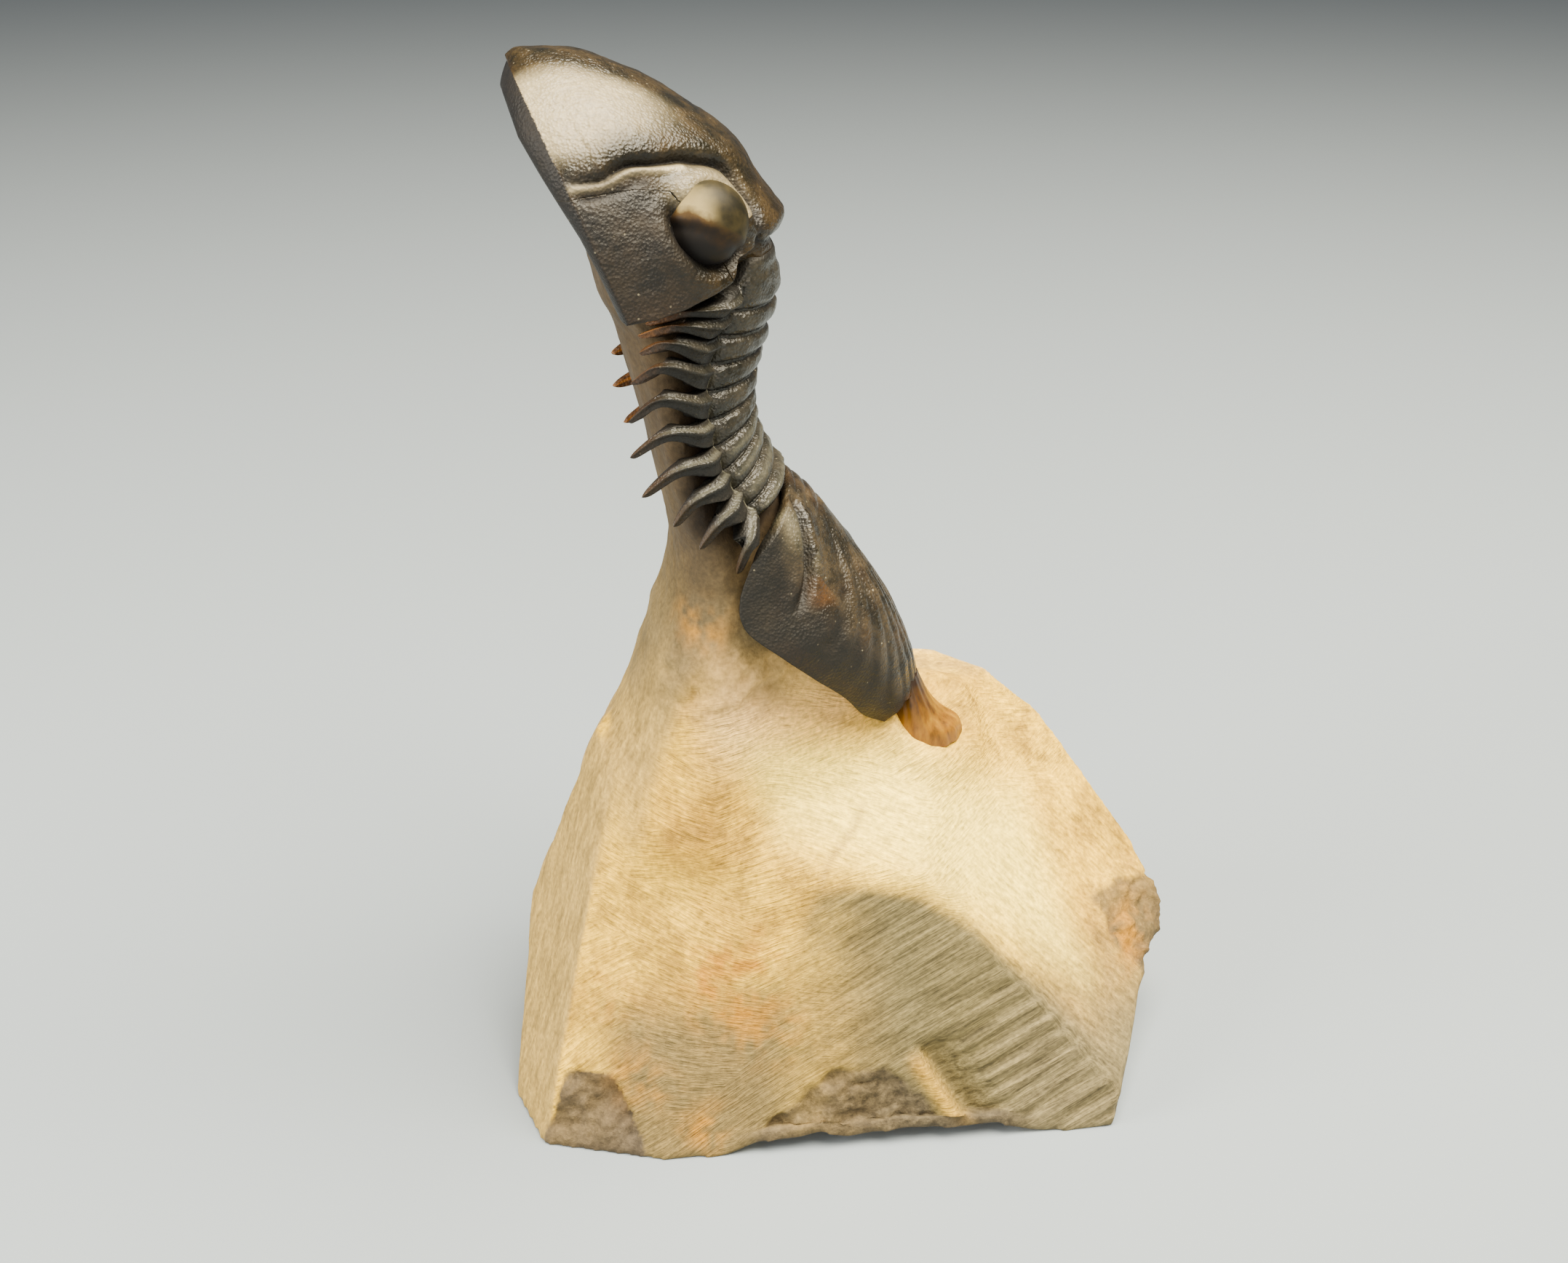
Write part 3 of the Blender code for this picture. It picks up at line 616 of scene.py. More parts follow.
rows = [BEFORE_FIRST, *SEGMENTS, AFTER_LAST]
key = along_band([0, 1, 2, 3, 4])
across = np.linspace(-1, 1, ACROSS_STEPS)[None, :]
edge_fade = 1 - across ** 4
for number, (before, row, after) in enumerate(zip(rows, rows[1:], rows[2:]), start=1):
    ring_before, middle, ring_after = [band_line(line) for line in (before, row, after)]
    # The free tips hook down a little, and narrow to a point.
    middle[:, 2] += TIP_HOOK * (ramp(1.8, 3.0, key) - ramp(3.1, 4.0, key))
    to_front = (ring_before - middle) / 2
    to_back = (ring_after - middle) / 2
    width = along_band(HALF_WIDTH) * np.sqrt(np.clip(1 - np.clip(key - 3, 0, 1) ** 2.2, 0.02, 1))
    front_length = np.linalg.norm(to_front, axis=1)
    back_length = np.linalg.norm(to_back, axis=1)
    front_width = np.minimum(front_length, width)
    if number == 1:
        front_width = np.maximum(front_width, FIRST_RING_REACH * ramp(1.3, 0.9, key))
    to_front *= (front_width / front_length)[:, None]
    to_back *= (np.minimum(back_length * OVERLAP, width) / back_length)[:, None]
    outward = np.cross(np.gradient(middle, axis=0), to_back - to_front)
    outward /= np.linalg.norm(outward, axis=1, keepdims=True)
    outward *= np.sign((outward * (middle - BODY_MIDDLE) * [1, 1, 0]).sum(1, keepdims=True))
    outward[ARCH_STEPS - 6:ARCH_STEPS + 7] = outward[ARCH_STEPS - 6:ARCH_STEPS + 7].mean(0)
    outward /= np.linalg.norm(outward, axis=1, keepdims=True)
    spread = np.where(
        across[..., None] < 0, -across[..., None] * to_front[:, None], across[..., None] * to_back[:, None])

    # The relief in mm: a domed band over the back, a furrow each side of it, a sharp ridge along each rib.
    crown = along_band(CROWN)[:, None]
    ring_share = ramp(1.15, 0.90, key)[:, None]
    furrow_line = bell(key[:, None] - (1.04 + 0.10 * across ** 2), 0.06)
    ring_dome = (1 - np.abs(across) ** 2.6) * crown + 0.16 * across - 0.05
    ring_dome = ring_dome - 0.20 * bell(across - RING_GROOVE, 0.13)
    ridge = bell(across - RIB_RIDGE, np.where(across < RIB_RIDGE, 0.26, 0.50)) * crown
    rib_dome = 0.9 * ridge + 0.10 * edge_fade
    dome = ring_share * ring_dome + (1 - ring_share) * rib_dome - 0.30 * furrow_line
    half_outer = middle[:, None] + spread + outward[:, None] * dome[..., None]
    uneven = 0.12 * lumps(half_outer, 1.7, number) + 0.08 * lumps(half_outer, 0.7, number + 20)
    uneven = uneven * edge_fade * ramp(4.0, 3.0, key)[:, None]
    half_outer = half_outer + outward[:, None] * uneven[..., None]
    half_inner = middle[:, None] + spread * 0.9 - outward[:, None] * along_band(SEGMENT_DEPTH)[:, None, None]

    places_along = key[:, None] + 0 * across
    free_rib = ramp(1.0, 1.3, places_along) * ramp(3.8, 2.6, places_along)
    # Pale: a line at each ring's furrow, and painted highlights on each rib's crest and on the lower rings'
    # backs.
    pale = (number > 1) * bell(places_along - 1.10 - 0.14 * across ** 2, 0.07)
    pale = pale + free_rib * bell(across - RING_GROOVE, 0.13) * (0.05 + 0.20 * (number >= 6))
    pale = pale + 0.15 * (number >= 7) * bell(across - 0.1, 0.35) * ramp(1.0, 0.8, places_along)
    rust = ramp(2.8, 3.7, places_along) * (0.8 if number <= 2 else 0.35 if number <= 4 else 0.1)
    # Painted shade at the band's edges, where the rings overlap, and on each rib's rear slope below its
    # crest.
    rib_rear_shade = 0.25 + 0.7 * ramp(-0.5, 0.0, across)
    deep = np.maximum(
        ramp(0.80, 1.0, np.abs(across)) * 0.9, ramp(1.1, 1.4, places_along) * rib_rear_shade)
    # The far side's tips stand out level and amber, the first ones tucked in behind the stone.
    tucked = number <= 3
    level_tip = ramp(1.5 if tucked else 2.4, 4.0, key)[:, None, None]
    level_tip = level_tip * np.array(LEVEL_TIP_FIRST if tucked else LEVEL_TIP)
    if not tucked:
        sag = ramp(1.6, 3.0, key) * ramp(4.0, 3.2, key)
        level_tip[..., 2] -= LEVEL_TIP_SAG * sag[:, None]
    amber_tip = ramp(2.4, 3.0, places_along) * (3 < number <= 7)
    outer = both_sides(half_outer + level_tip, half_outer * [1, -1, 1])
    inner = both_sides(half_inner + level_tip, half_inner * [1, -1, 1])
    ring = body_between(f"thorax_ring_{number:02d}", outer, inner, {
        "pale": both_sides(pale, pale),
        "deep": both_sides(deep, deep),
        "rust": both_sides(np.maximum(rust, amber_tip), rust),
    })
    ring.data.materials.append(thorax_shell)
    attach(ring, "root")
    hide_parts(f"thoracic_segment_{number:02d}")


# The tail shield: one vaulted plate with ribs that fan from the end of its short axis to the rear margin, a
# deep furrow behind its front lobe, and a flared rear border of amber calcite that stands on the rock.
TAIL_BACK = [
    (-1.7, 62.3), (0.5, 60.5), (3.4, 56.9), (6.2, 53.0), (8.0, 50.2), (9.5, 47.0), (10.7, 43.6), (11.4, 40.4),
]
TAIL_MARGIN = [
    (-6.6, 10.2, 57.4), (-7.7, 10.7, 54.2), (-7.3, 11.0, 51.3), (-3.9, 11.2, 48.3), (-0.7, 10.2, 45.4),
    (2.3, 8.6, 42.6), (4.6, 6.9, 39.7), (7.2, 4.7, 37.6),
]
TAIL_MIDDLE = np.array([-4.0, 0, 44.0])
TAIL_THICKNESS = 1.0
# Sections of the flare from its root down: middle (x, z), half length, half width.
TAIL_FLARE = [
    ((10.0, 41.2), 1.3, 3.0), ((10.6, 38.4), 2.0, 3.8), ((11.1, 36.6), 2.9, 4.2), ((11.5, 35.4), 4.3, 4.5),
    ((11.6, 34.0), 4.6, 4.6),
]
LOBE_FURROW = [
    (-2.3, 4.6, 61.6), (-1.6, 5.6, 60.6), (-1.3, 6.9, 58.9), (-1.2, 7.8, 57.2), (-1.2, 8.7, 55.3),
    (-1.8, 9.6, 53.7), (-2.8, 10.5, 52.1),
]
FAN_FOCUS = 0.10
LOBE_FAN = 79
# Each groove of the fan: degrees from the middle line, depth in mm, half width in degrees.
FAN_GROOVES = [
    (67.5, 0.26, 2.0), (61.8, 0.15, 1.3), (56.2, 0.20, 1.4), (50.0, 0.18, 1.4), (43.0, 0.16, 1.5),
    (35.0, 0.15, 1.6), (26.0, 0.13, 1.8), (15.5, 0.12, 2.0), (5.0, 0.08, 2.0),
]
AXIS_RINGS = (0.055, 0.115, 0.18)
TAIL_ROWS = 230
TAIL_COLUMNS = 260
FLARE_COLUMNS = 120


def evenly_along(points, count):
    """Places at even steps along the smooth curve through some points."""
    line = curve_through(points, 20)
    spots = np.linspace(0, len(line) - 1, count)
    return np.stack([np.interp(spots, np.arange(len(line)), column) for column in line.T], -1)


back_line = evenly_along(TAIL_BACK, TAIL_ROWS)
margin_line = evenly_along(TAIL_MARGIN, TAIL_ROWS)
turn = pi * (np.linspace(0, 1, TAIL_COLUMNS) - 0.5)
drop = 1 - np.cos(turn)
tail = np.stack([
    back_line[:, :1] + (margin_line[:, :1] - back_line[:, :1]) * drop[None, :],
    margin_line[:, 1:2] * np.sin(turn)[None, :],
    back_line[:, 1:] + (margin_line[:, 2:] - back_line[:, 1:]) * drop[None, :],
], -1)
tail_lift = sheet_normals(tail, TAIL_MIDDLE)
fold = tail.copy()
fold[..., 1] = np.abs(fold[..., 1])
down = np.linspace(0, 1, TAIL_ROWS)[:, None] * np.ones(TAIL_COLUMNS)
out = np.abs(np.sin(turn))[None, :] * np.ones((TAIL_ROWS, 1))
fan = np.degrees(np.arctan2(out, down - FAN_FOCUS))
reach = np.hypot(out, down - FAN_FOCUS)
tail_relief = np.zeros_like(out)
groove_mask = np.zeros_like(out)
for angle, depth, width in FAN_GROOVES:
    line = bell(fan - angle, width) * ramp(0.12, 0.55, reach)
    tail_relief -= depth * line
    groove_mask = np.maximum(groove_mask, line)
gap, along, _, _ = from_line(fold, LOBE_FURROW)
furrow_depth = table([(0, 0.0), (0.2, 0.8), (0.5, 1.0), (0.8, 0.7), (1, 0.0)], along)
behind = fan < LOBE_FAN
tail_relief -= 0.85 * furrow_depth * bell(gap, 0.5)
tail_relief += np.where(behind, 0.35, 0.30) * furrow_depth * bell(gap - 1.1, 0.75)
tail_relief += 0.45 * bell(out - 0.80, 0.22) * bell(down - 0.08, 0.14)
tail_relief += 0.25 * bell(out, 0.34) * ramp(0.42, 0.0, down)
for ring_place in AXIS_RINGS:
    tail_relief -= 0.14 * bell(down - ring_place - 0.02 * out, 0.012) * ramp(0.55, 0.35, out)
tail_relief *= ramp(0.0, 0.06, 1 - out) * 0.8 + 0.2
tail_relief += (0.10 * lumps(tail, 2.4, 4) + 0.045 * lumps(tail, 0.9, 5)) * ramp(0, 0.05, 1 - out)
rust_patch = np.exp(-((tail[..., 0] + 0.2) ** 2 / 3.0 + (tail[..., 2] - 53.2) ** 2 / 7.0)) * (out > 0.75)
tail_masks = {
    # Painted highlights beside the lobe's furrow and in a spot on the lobe's front.
    "pale": np.clip(
        0.5 * bell(gap - 0.9, 0.35) * behind * ramp(0.75, 0.2, along)
        + 0.3 * bell(out - 0.74, 0.10) * bell(down - 0.05, 0.10), 0, 1),
    "rust": np.clip(
        0.55 * rust_patch * np.clip(0.5 + 0.9 * lumps(tail, 1.3, 6), 0, 1)
        + 0.16 * np.clip(lumps(tail, 2.2, 7), 0, 1)
        + 0.35 * ramp(0.975, 0.995, out) * ramp(0.3, 0.5, down)
        + 0.7 * ramp(0.94, 1.0, down), 0, 1),
    # Painted shade in the lobe's furrow and the fan's grooves, and where the sides turn down to the margin.
    "deep": np.clip(
        0.9 * bell(gap, 0.5) * furrow_depth + 0.45 * groove_mask + 0.9 * ramp(0.76, 0.93, out)
        + 0.5 * ramp(0.86, 0.95, out) * ramp(0.3, 0.1, down), 0, 1),
}
tail_outer = tail + tail_lift * tail_relief[..., None]
pygidium = body_between("tail_shield", tail_outer, tail - tail_lift * TAIL_THICKNESS, tail_masks)
tail_shell = shell_material("polished calcite of the tail", "1D1A13", "3B3223", "85816B", "553616", "0B0A07")
pygidium.data.materials.append(tail_shell)

# Its flared rear border, drawn out and turned up where it meets the rock, streaked along its growth.
amber, amber_shader, amber_place = new_material("translucent amber calcite")
streak_place = node(amber, "Mapping", {}, {"Vector": amber_place, "Scale": (900.0, 900.0, 300.0)})
streaks = noise(amber, streak_place, 1.0, 4.0, 0.6)
amber_colour = node(amber, "ValToRGB", {"stops": [
    (0.30, "3E2606"), (0.46, "6C460A"), (0.60, "80580C"), (0.78, "A6801E"),
]}, {"Fac": streaks})
# It darkens upward into the shield, from 36.5 to 40.5 mm over the block's foot.
above_rock = node(amber, "SeparateXYZ", {}, {"Vector": amber_place}).outputs["Z"]
amber_colour = mixed(amber, ranged(amber, above_rock, 0.0365, 0.0405), amber_colour, linear("20140A"))
amber_bump = node(amber, "Bump", {}, {"Height": streaks, "Strength": 0.4, "Distance": 0.0001})
finish_surface(amber, amber_shader, {"Base Color": amber_colour, "Normal": amber_bump}, {
    "Roughness": 0.4, "IOR": 1.6, "Specular IOR Level": 0.25,
    "Subsurface Weight": 0.1, "Subsurface Scale": 0.0015,
})
flare_turn = 2 * pi * np.arange(FLARE_COLUMNS) / FLARE_COLUMNS
flute = 1 + 0.012 * np.cos(flare_turn * 17) + 0.012 * np.cos(flare_turn * 5 + 1)
flare_rows = np.array([
    np.stack([
        x + half_length * np.cos(flare_turn) * flute, half_width * np.sin(flare_turn) * flute, 0 * flute + z
    ], -1)
    for x, z, half_length, half_width in curve_through([(*middle, *size) for middle, *size in TAIL_FLARE], 14)
])
index = np.arange(flare_rows.shape[0] * FLARE_COLUMNS).reshape(-1, FLARE_COLUMNS)
turned = np.roll(index, -1, axis=1)
faces = np.stack([index[:-1], turned[:-1], turned[1:], index[1:]], -1).reshape(-1, 4).tolist()
faces += [index[0].tolist(), index[-1][::-1].tolist()]
flare = new_piece("tail_border", flare_rows.reshape(-1, 3), faces, {})
flare.data.shade_smooth()
flare.data.materials.append(amber)
cut(pygidium, flare, "UNION")
bpy.data.objects.remove(flare, do_unlink=True)
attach(pygidium, "root")
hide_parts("pygidium")


# The stone: one block of fine cream limestone. The preparer ground its sides to facets with a coarse wheel,
# left a mound and a thin fin of it to carry the animal, and needled that. The broken patches stay rough.
SKIN_STEP = 0.42
# Outlines and lines on the face toward the camera: (x, z).
DIM_FACE = [
    (-1.2, 25.2), (3.3, 25.5), (8.5, 24.3), (14.1, 20.6), (20.6, 13.9), (24.5, 9.2), (28.1, 4.5),
    (30.0, -1.0), (-14.0, -1.0), (-11.4, 7.3), (-9.4, 12.2), (-6.7, 17.0), (-3.8, 21.0),
]
# The face that looks up to the overhead light, painted a brighter yellow: painted light.
PAINTED_LIGHT_FACE = [(-9.0, 41.0), (-4.0, 30.0), (9.0, 25.5), (21.0, 16.0), (26.0, 12.0), (22.0, 27.0), (8.0, 35.0)]
SOFT_EDGE = [(-1.0, 26.0), *DIM_FACE[:7:-1]]
BROKEN_CORNER = [(-29.0, -1.0), (-25.5, 7.3), (-21.4, 7.6), (-20.1, 4.8), (-18.9, 1.6), (-18.5, -1.0)]
BROKEN_FOOT = [(-9.5, -1.0), (-7.5, 2.0), (-4.5, 5.0), (-0.8, 8.0), (4.4, 7.9), (7.9, 5.2), (11.7, -1.0)]
BROKEN_BULGE = [(28.4, 16.9), (32.9, 16.6), (37.6, 15.0), (39.0, 9.0), (33.6, 9.0), (30.0, 13.5)]
GROOVED = [(10.0, 8.5), (15.5, 17.0), (20.6, 13.0), (28.0, 4.0), (28.5, -1.0), (16.0, -1.0)]
GROOVE_SLANT = radians(27)
GROOVE_STEP = 2.1
GOUGE = [(7.2, 10.0), (13.6, -0.6)]
CRACK = [(4.2, 31.1), (3.3, 30.0), (1.7, 28.8), (0.2, 27.8), (-0.8, 26.0)]
FLARE_FOOT = (11.6, 4.6)
# Iron stains: x, z, radius.
STAINS = [
    (-11.1, 17.9, 3.0), (-6.6, 20.1, 2.6), (-6.2, 12.3, 3.0), (-18.8, 7.6, 2.6), (-11.0, 50.8, 2.0),
    (-20.9, 14.7, 2.4), (-10.5, 15.2, 3.0), (-13.0, 3.0, 2.2), (32.5, 12.5, 2.4),
]
# The wheel's strokes tilt with height: height, degrees.
STROKE_TILT = [(0, 18), (8, 14), (16, 6), (24, -3), (40, -5)]
# Colours of the stone's faces and stains, each laid over those before it, with its strength.
# Several are painted light and shade: the lit face, the faces looking left or down, the low front,
# the lower right, the mound in the tail's shadow and the dark between the ribs.
STONE_TINTS = [
    ("bright", "FFE060", 1.0), ("left", "AC8E48", 1.0), ("unworked", "C2A470", 1.0), ("foot", "7C693C", 1.0),
    ("dim", "746842", 1.0), ("shade", "7C6F4C", 1.0), ("mound", "FACA80", 0.7), ("neck", "71613F", 1.0),
    ("rosy", "433623", 1.0), ("brown", "251A0C", 1.0), ("stained", "504536", 1.0), ("orange", "B47C0E", 1.0),
    ("crack", "8A6E40", 0.5),
]

rock = copy_of(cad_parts["matrix"], "limestone_block")
rock.hide_render = False
rock.parent = None
rock.matrix_world.identity()
work = bmesh.new()
work.from_mesh(rock.data)
bmesh.ops.remove_doubles(work, verts=work.verts, dist=1e-6)
work.to_mesh(rock.data)
work.free()
remesh = rock.modifiers.new("even skin", "REMESH")
remesh.mode = "VOXEL"
remesh.voxel_size = SKIN_STEP * MM
apply_step(rock, remesh)


def read(piece):
    """A piece's points and their normals, in mm."""
    places = np.empty(len(piece.data.vertices) * 3)
    piece.data.vertices.foreach_get("co", places)
    normals = np.empty(len(piece.data.vertices) * 3, np.float32)
    piece.data.vertex_normals.foreach_get("vector", normals)
    return places.reshape(-1, 3) / MM, normals.reshape(-1, 3).astype(float)


def soften(piece, weights, times):
    """Evens a piece's points out, each by its weight."""
    group = piece.vertex_groups.new(name="soft")
    levels = np.round(np.clip(weights, 0, 1) * 16).astype(int)
    for level in range(1, 17):
        group.add(np.nonzero(levels == level)[0].tolist(), level / 16, "REPLACE")
    step = piece.modifiers.new("soften", "SMOOTH")
    step.vertex_group = group.name
    step.iterations = times
    step.factor = 0.5
    apply_step(piece, step)
    piece.vertex_groups.clear()


def region(x, z, outline, soft):
    """1 inside an outline and 0 outside, with a soft border this wide."""
    inside = np.zeros(len(x), bool)
    closest = np.full(len(x), 1e9)
    for (x1, z1), (x2, z2) in zip(outline, outline[1:] + outline[:1]):
        crossing = (z1 > z) != (z2 > z)
        with np.errstate(divide="ignore", invalid="ignore"):
            inside ^= crossing & (x < (x2 - x1) * (z - z1) / (z2 - z1) + x1)
        length = (x2 - x1) ** 2 + (z2 - z1) ** 2
        t = np.clip(((x - x1) * (x2 - x1) + (z - z1) * (z2 - z1)) / length, 0, 1)
        closest = np.minimum(closest, np.hypot(x - x1 - t * (x2 - x1), z - z1 - t * (z2 - z1)))
    return ramp(-soft, soft, np.where(inside, closest, -closest))


# The mound and the edge of the dim face are worn round; the rest keeps its edges, a little blunt.
places, normals = read(rock)
worn = ramp(20.0, 27.0, places[:, 2]) * ramp(60.0, 52.0, places[:, 2])
worn *= ramp(22.0, 12.0, np.hypot(places[:, 0] + 5.0, places[:, 1] * 1.1))
worn *= ramp(0.2, -0.3, normals[:, 1])
edge_gap = from_line(places[:, [0, 2]], SOFT_EDGE)[0]
worn_edge = bell(edge_gap, 4.5) * ramp(-0.2, -0.5, normals[:, 1]) * ramp(0.5, 3.0, places[:, 2])
soften(rock, np.maximum(worn, worn_edge), 350)
soften(rock, np.full(len(places), 0.5), 14)
places, normals = read(rock)
x, y, z = places.T
front = ramp(-0.15, -0.45, normals[:, 1])
back = ramp(0.1, 0.4, normals[:, 1])
bulge_side = ramp(26.0, 28.5, x) * (y < 6)
broken = np.maximum.reduce([
    region(x, z, BROKEN_CORNER, 0.5) * front,
    region(x, z, BROKEN_FOOT, 0.9) * front * 0.9,
    region(x, z, BROKEN_BULGE, 0.9) * bulge_side,
])
broken = ramp(0.25, 0.75, broken + 0.35 * lumps(places, 1.7, 13) * (broken > 0.02))

# How far each place is pushed out, in mm: broad unevenness, broken grain, the bulge and the flare's footing.
rough = 0.5 * np.abs(lumps(places, 1.3, 1)) + 0.3 * np.abs(lumps(places, 0.7, 2))
rough += 0.5 * lumps(places, 2.8, 3)
below_fin = ramp(60, 40, z)
push = (0.22 * lumps(places, 9.0, 4) + 0.10 * lumps(places, 3.5, 14)) * below_fin
push += back * below_fin * (0.45 * lumps(places, 5.0, 17) + 0.22 * lumps(places, 2.0, 18))
push += broken * (1.3 * rough - 0.6)
push += 0.9 * region(x, z, BROKEN_BULGE, 1.6) * ramp(26.0, 30.0, x) * (y < 6)
push += 1.1 * bell(x + 10.5, 7.0) * bell(z - 30.5, 4.5) * front
flare_x, flare_radius = FLARE_FOOT
flare_reach = np.hypot(x - flare_x, y) / flare_radius
looks_up = ramp(0.1, 0.6, normals[:, 2])
push += 1.2 * bell(flare_reach - 1.1, 0.4) * looks_up * ramp(28, 33, z) * (z < 39)
fin = ramp(40.0, 46.0, z)
push += fin * (0.10 * lumps(places, 1.6, 5) + 0.05 * lumps(places, 0.8, 6))
needle_pits = bell(x + 9.0, 6.0) * bell(z - 45.0, 4.5) * front
push += needle_pits * (0.3 * lumps(places, 0.9, 8) - 0.6 * ramp(0.25, 0.7, lumps(places, 1.2, 7)))
# The gouge: its left lip stands up and catches the light, and its floor climbs back to the face.
(gouge_x, gouge_z), (gouge_end_x, gouge_end_z) = GOUGE
run_x, run_z = gouge_end_x - gouge_x, gouge_end_z - gouge_z
gouge_length = np.hypot(run_x, run_z)
gouge_along = ((x - gouge_x) * run_x + (z - gouge_z) * run_z) / gouge_length
gouge_across = ((z - gouge_z) * run_x - (x - gouge_x) * run_z) / gouge_length
gouge = ramp(0.0, 2.5, gouge_along) * ramp(-1.0, 0.5, gouge_length - gouge_along) * front
push += gouge * 0.55 * bell(gouge_across + 0.7, 0.7) * (gouge_across < 0.2)
push -= gouge * 1.5 * ramp(-0.1, 0.5, gouge_across) * ramp(5.0, 0.5, gouge_across)
# Coarse wheel marks at the lower right.
mark = (z * cos(GROOVE_SLANT) - x * sin(GROOVE_SLANT)) * 2 * pi / GROOVE_STEP
wave = np.sin(mark + 1.3 * lumps(places, 6.0, 9)) * (0.7 + 0.5 * lumps(places, 3.0, 10))
push += 0.22 * region(x, z, GROOVED, 1.5) * front * wave
places = places + normals * (push * ramp(0.9, 2.0, z))[:, None]
# The foot is chipped at the front right, and stands flat.
chipped = ramp(-12.0, -6.0, x) * ramp(21.0, 15.0, x)
chipped *= ramp(-13.5, -17.0, y) * ramp(3.0, 1.0, z)
chip_height = np.clip(1.3 + 0.7 * lumps(places * [1, 1, 0], 2.6, 11), 0.3, 2.2)
places[:, 2] += chipped * chip_height * ramp(-0.1, 0.9, 3.0 - z)
places[:, 2] = np.maximum(places[:, 2], 0)
rock.data.vertices.foreach_set("co", (places * MM).reshape(-1))
rock.data.update()

lip = gouge * bell(gouge_across + 0.6, 0.8)
# Painted shade on the lower front face, which looks down and away from the light.
dim = region(x, z, DIM_FACE, 1.0) * front * ramp(-11.0, 9.0, x + 0.1 * z) * (1 - 0.8 * lip)
# Painted shade on the low front at the left, darker towards the bottom.
foot = ramp(0.0, -0.25, normals[:, 1]) * ramp(20.0, 12.0, z - 0.1 * (x + 8.0))
foot *= ramp(-25.0, -19.0, x) * ramp(2.0, -8.0, x)
crack_gap = from_line(np.stack([x, z], -1), CRACK)[0]
orange = sum(bell(np.hypot(x - stain_x, z - stain_z), radius) for stain_x, stain_z, radius in STAINS) * front
patchy = np.clip(0.45 + 0.6 * lumps(places, 2.2, 12) + 0.6 * lumps(places, 0.8, 15), 0, 1)
neck_height = z - 0.5 * (x + 12.0) * (x < -12.0) + 2.5 * lumps(places, 4.0, 16)
far_top = 0.5 * ramp(3.0, 8.0, y) * ramp(34.0, 40.0, z)
for mask, values in {
    # Painted light on the face that looks up.
    "bright": region(x, z, PAINTED_LIGHT_FACE, 3.0) * front,
    # Painted shade: faces that look left are painted a darker, greyer tan.
    "left": ramp(-0.5, -0.8, normals[:, 0]) * ramp(62.0, 50.0, z),
    "unworked": np.maximum(0.75 * back, far_top) * (z < 50),
    "foot": foot,
    "dim": dim,
    "shade": ramp(20.0, 5.0, z) * ramp(12.0, 20.0, x) * front,
    # Painted light on the mound in the tail's shadow: a paler, less yellow tan.
    "mound": ramp(34.0, 42.0, z) * ramp(-14.0, -8.0, x) * ramp(12.0, 6.0, x) * front,
    "neck": ramp(39.0, 50.0, neck_height) * np.maximum(front, 0.8),
    "rosy": ramp(44.0, 60.0, z) * (1 - 0.65 * ramp(-12.0, -15.0, x) * ramp(66.0, 58.0, z)),
    # Near-black on the fin between the ribs near the back: the matrix's brown, darkened with painted shade.
    "brown": ramp(58.0, 61.0, z) * ramp(-13.0, -11.0, x) * ramp(86.0, 83.0, z),
    "stained": np.maximum(broken * np.where(x < -15, 0.95, 0.78), 0.8 * chipped),
    "orange": np.clip(orange, 0, 1) * patchy,
    "crack": bell(crack_gap, 0.3) * front,
    "steep": ramp(11.0, 16.0, x) * ramp(0.22, 0.45, normals[:, 2]) * ramp(30.0, 22.0, z),
    "sideways": ramp(0.50, 0.85, np.abs(normals[:, 0])),
    "scraped": fin,
    "broken": np.maximum(broken, chipped),
}.items():
    rock.data.attributes.new(mask, "FLOAT", "POINT").data.foreach_set("value", values.astype(np.float32))
strokes = np.stack([x, z - x * np.tan(np.radians(table(STROKE_TILT, z))), y * 0.2], -1).astype(np.float32)
rock.data.attributes.new("strokes", "FLOAT_VECTOR", "POINT").data.foreach_set("vector", strokes.reshape(-1))
rock.data.shade_smooth()

lime, stone_shader, stone_place = new_material("ground and scraped limestone")


def wheel_marks(place, turned, stretch, scale):
    """Fine parallel scratches: noise drawn out along one direction, turned in the picture plane."""
    mapped = node(lime, "Mapping", {}, {"Vector": place, "Rotation": turned})
    mapped = node(lime, "Mapping", {}, {"Vector": mapped, "Scale": (scale / stretch, scale, scale)})
    return noise(lime, mapped, 1.0, 4.0, 0.6)


def crossfade(first, second, share):
    return node(lime, "Mix", {}, {0: share, 2: first, 3: second}).outputs[0]


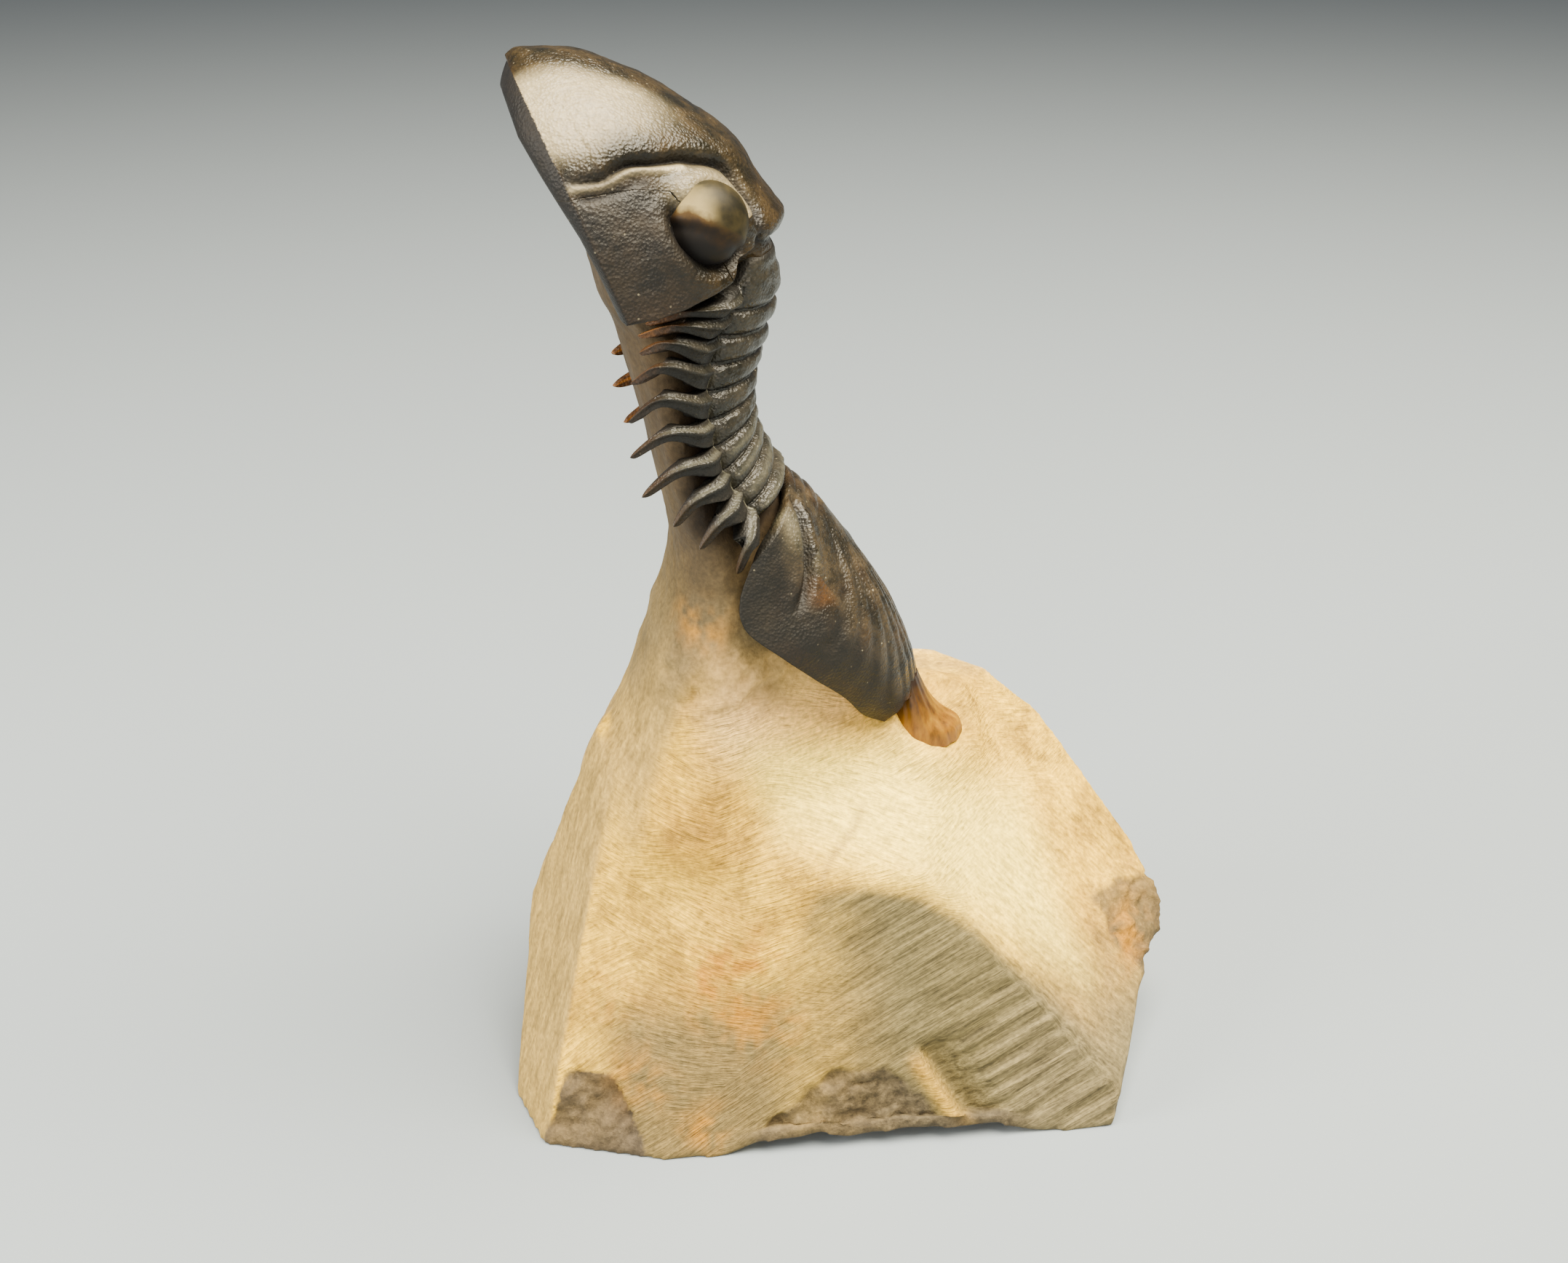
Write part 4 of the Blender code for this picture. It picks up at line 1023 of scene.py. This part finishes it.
cloud = noise(lime, stone_place, 60.0, 6.0, 0.6)
veil = noise(lime, stone_place, 170.0, 6.0, 0.7)
rugged = noise(lime, stone_place, 900.0, 6.0, 0.65)
grain = noise(lime, stone_place, 2200.0, 3.0)
# The wheel passed over the faces at two angles, in patches about 9 mm across.
stroke = node(lime, "Attribute", {"attribute_name": "strokes"}, {}).outputs["Vector"]
passes = ranged(lime, noise(lime, stone_place, 110.0, 1.0), 0.46, 0.54)
one_way, other_way = [wheel_marks(stroke, (0, 0, radians(angle)), 9.0, 4.6) for angle in (-15, 17)]
scratches = crossfade(one_way, other_way, passes)
for mask, turned, stretch, scale in (
    ("dim", (0, 29, 0), 14.0, 2200.0),
    ("steep", (0, -58, 0), 12.0, 2200.0),
    ("sideways", (90, 0, 88), 12.0, 1300.0),
):
    marks = wheel_marks(stone_place, [radians(angle) for angle in turned], stretch, scale)
    scratches = crossfade(scratches, marks, level_of(lime, mask))
for mask, marks in (("scraped", veil), ("broken", rugged), ("unworked", rugged)):
    scratches = crossfade(scratches, marks, level_of(lime, mask))
stone = mixed(lime, ranged(lime, cloud, 0.40, 0.68), linear("F6C634"), linear("B0821E"))
stone = mixed(lime, ranged(lime, veil, 0.46, 0.62, 0.0, 0.6), stone, linear("7A5C24"))
for mask, tint, strength in STONE_TINTS:
    stone = mixed(lime, product(lime, level_of(lime, mask), strength), stone, linear(tint))
rubbed = ranged(lime, level_of(lime, "dim"), 0.0, 1.0, 0.60, 0.30)
stone = mixed(lime, 1.0, stone, ranged(lime, scratches, 0.3, 0.7, rubbed, 1.3), "MULTIPLY")
stone = mixed(lime, 1.0, stone, ranged(lime, grain, 0.25, 0.75, 0.62, 1.15), "MULTIPLY")
bumps = node(lime, "Bump", {}, {"Height": scratches, "Strength": 1.0, "Distance": 0.0003})
bumps = node(lime, "Bump", {}, {"Height": grain, "Strength": 0.5, "Distance": 0.0001, "Normal": bumps})
surface = {"Base Color": stone, "Normal": bumps}
finish_surface(lime, stone_shader, surface, {"Roughness": 0.75, "Specular IOR Level": 0.25})
rock.data.materials.clear()
rock.data.materials.append(lime)
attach(rock, "root")
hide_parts("matrix")
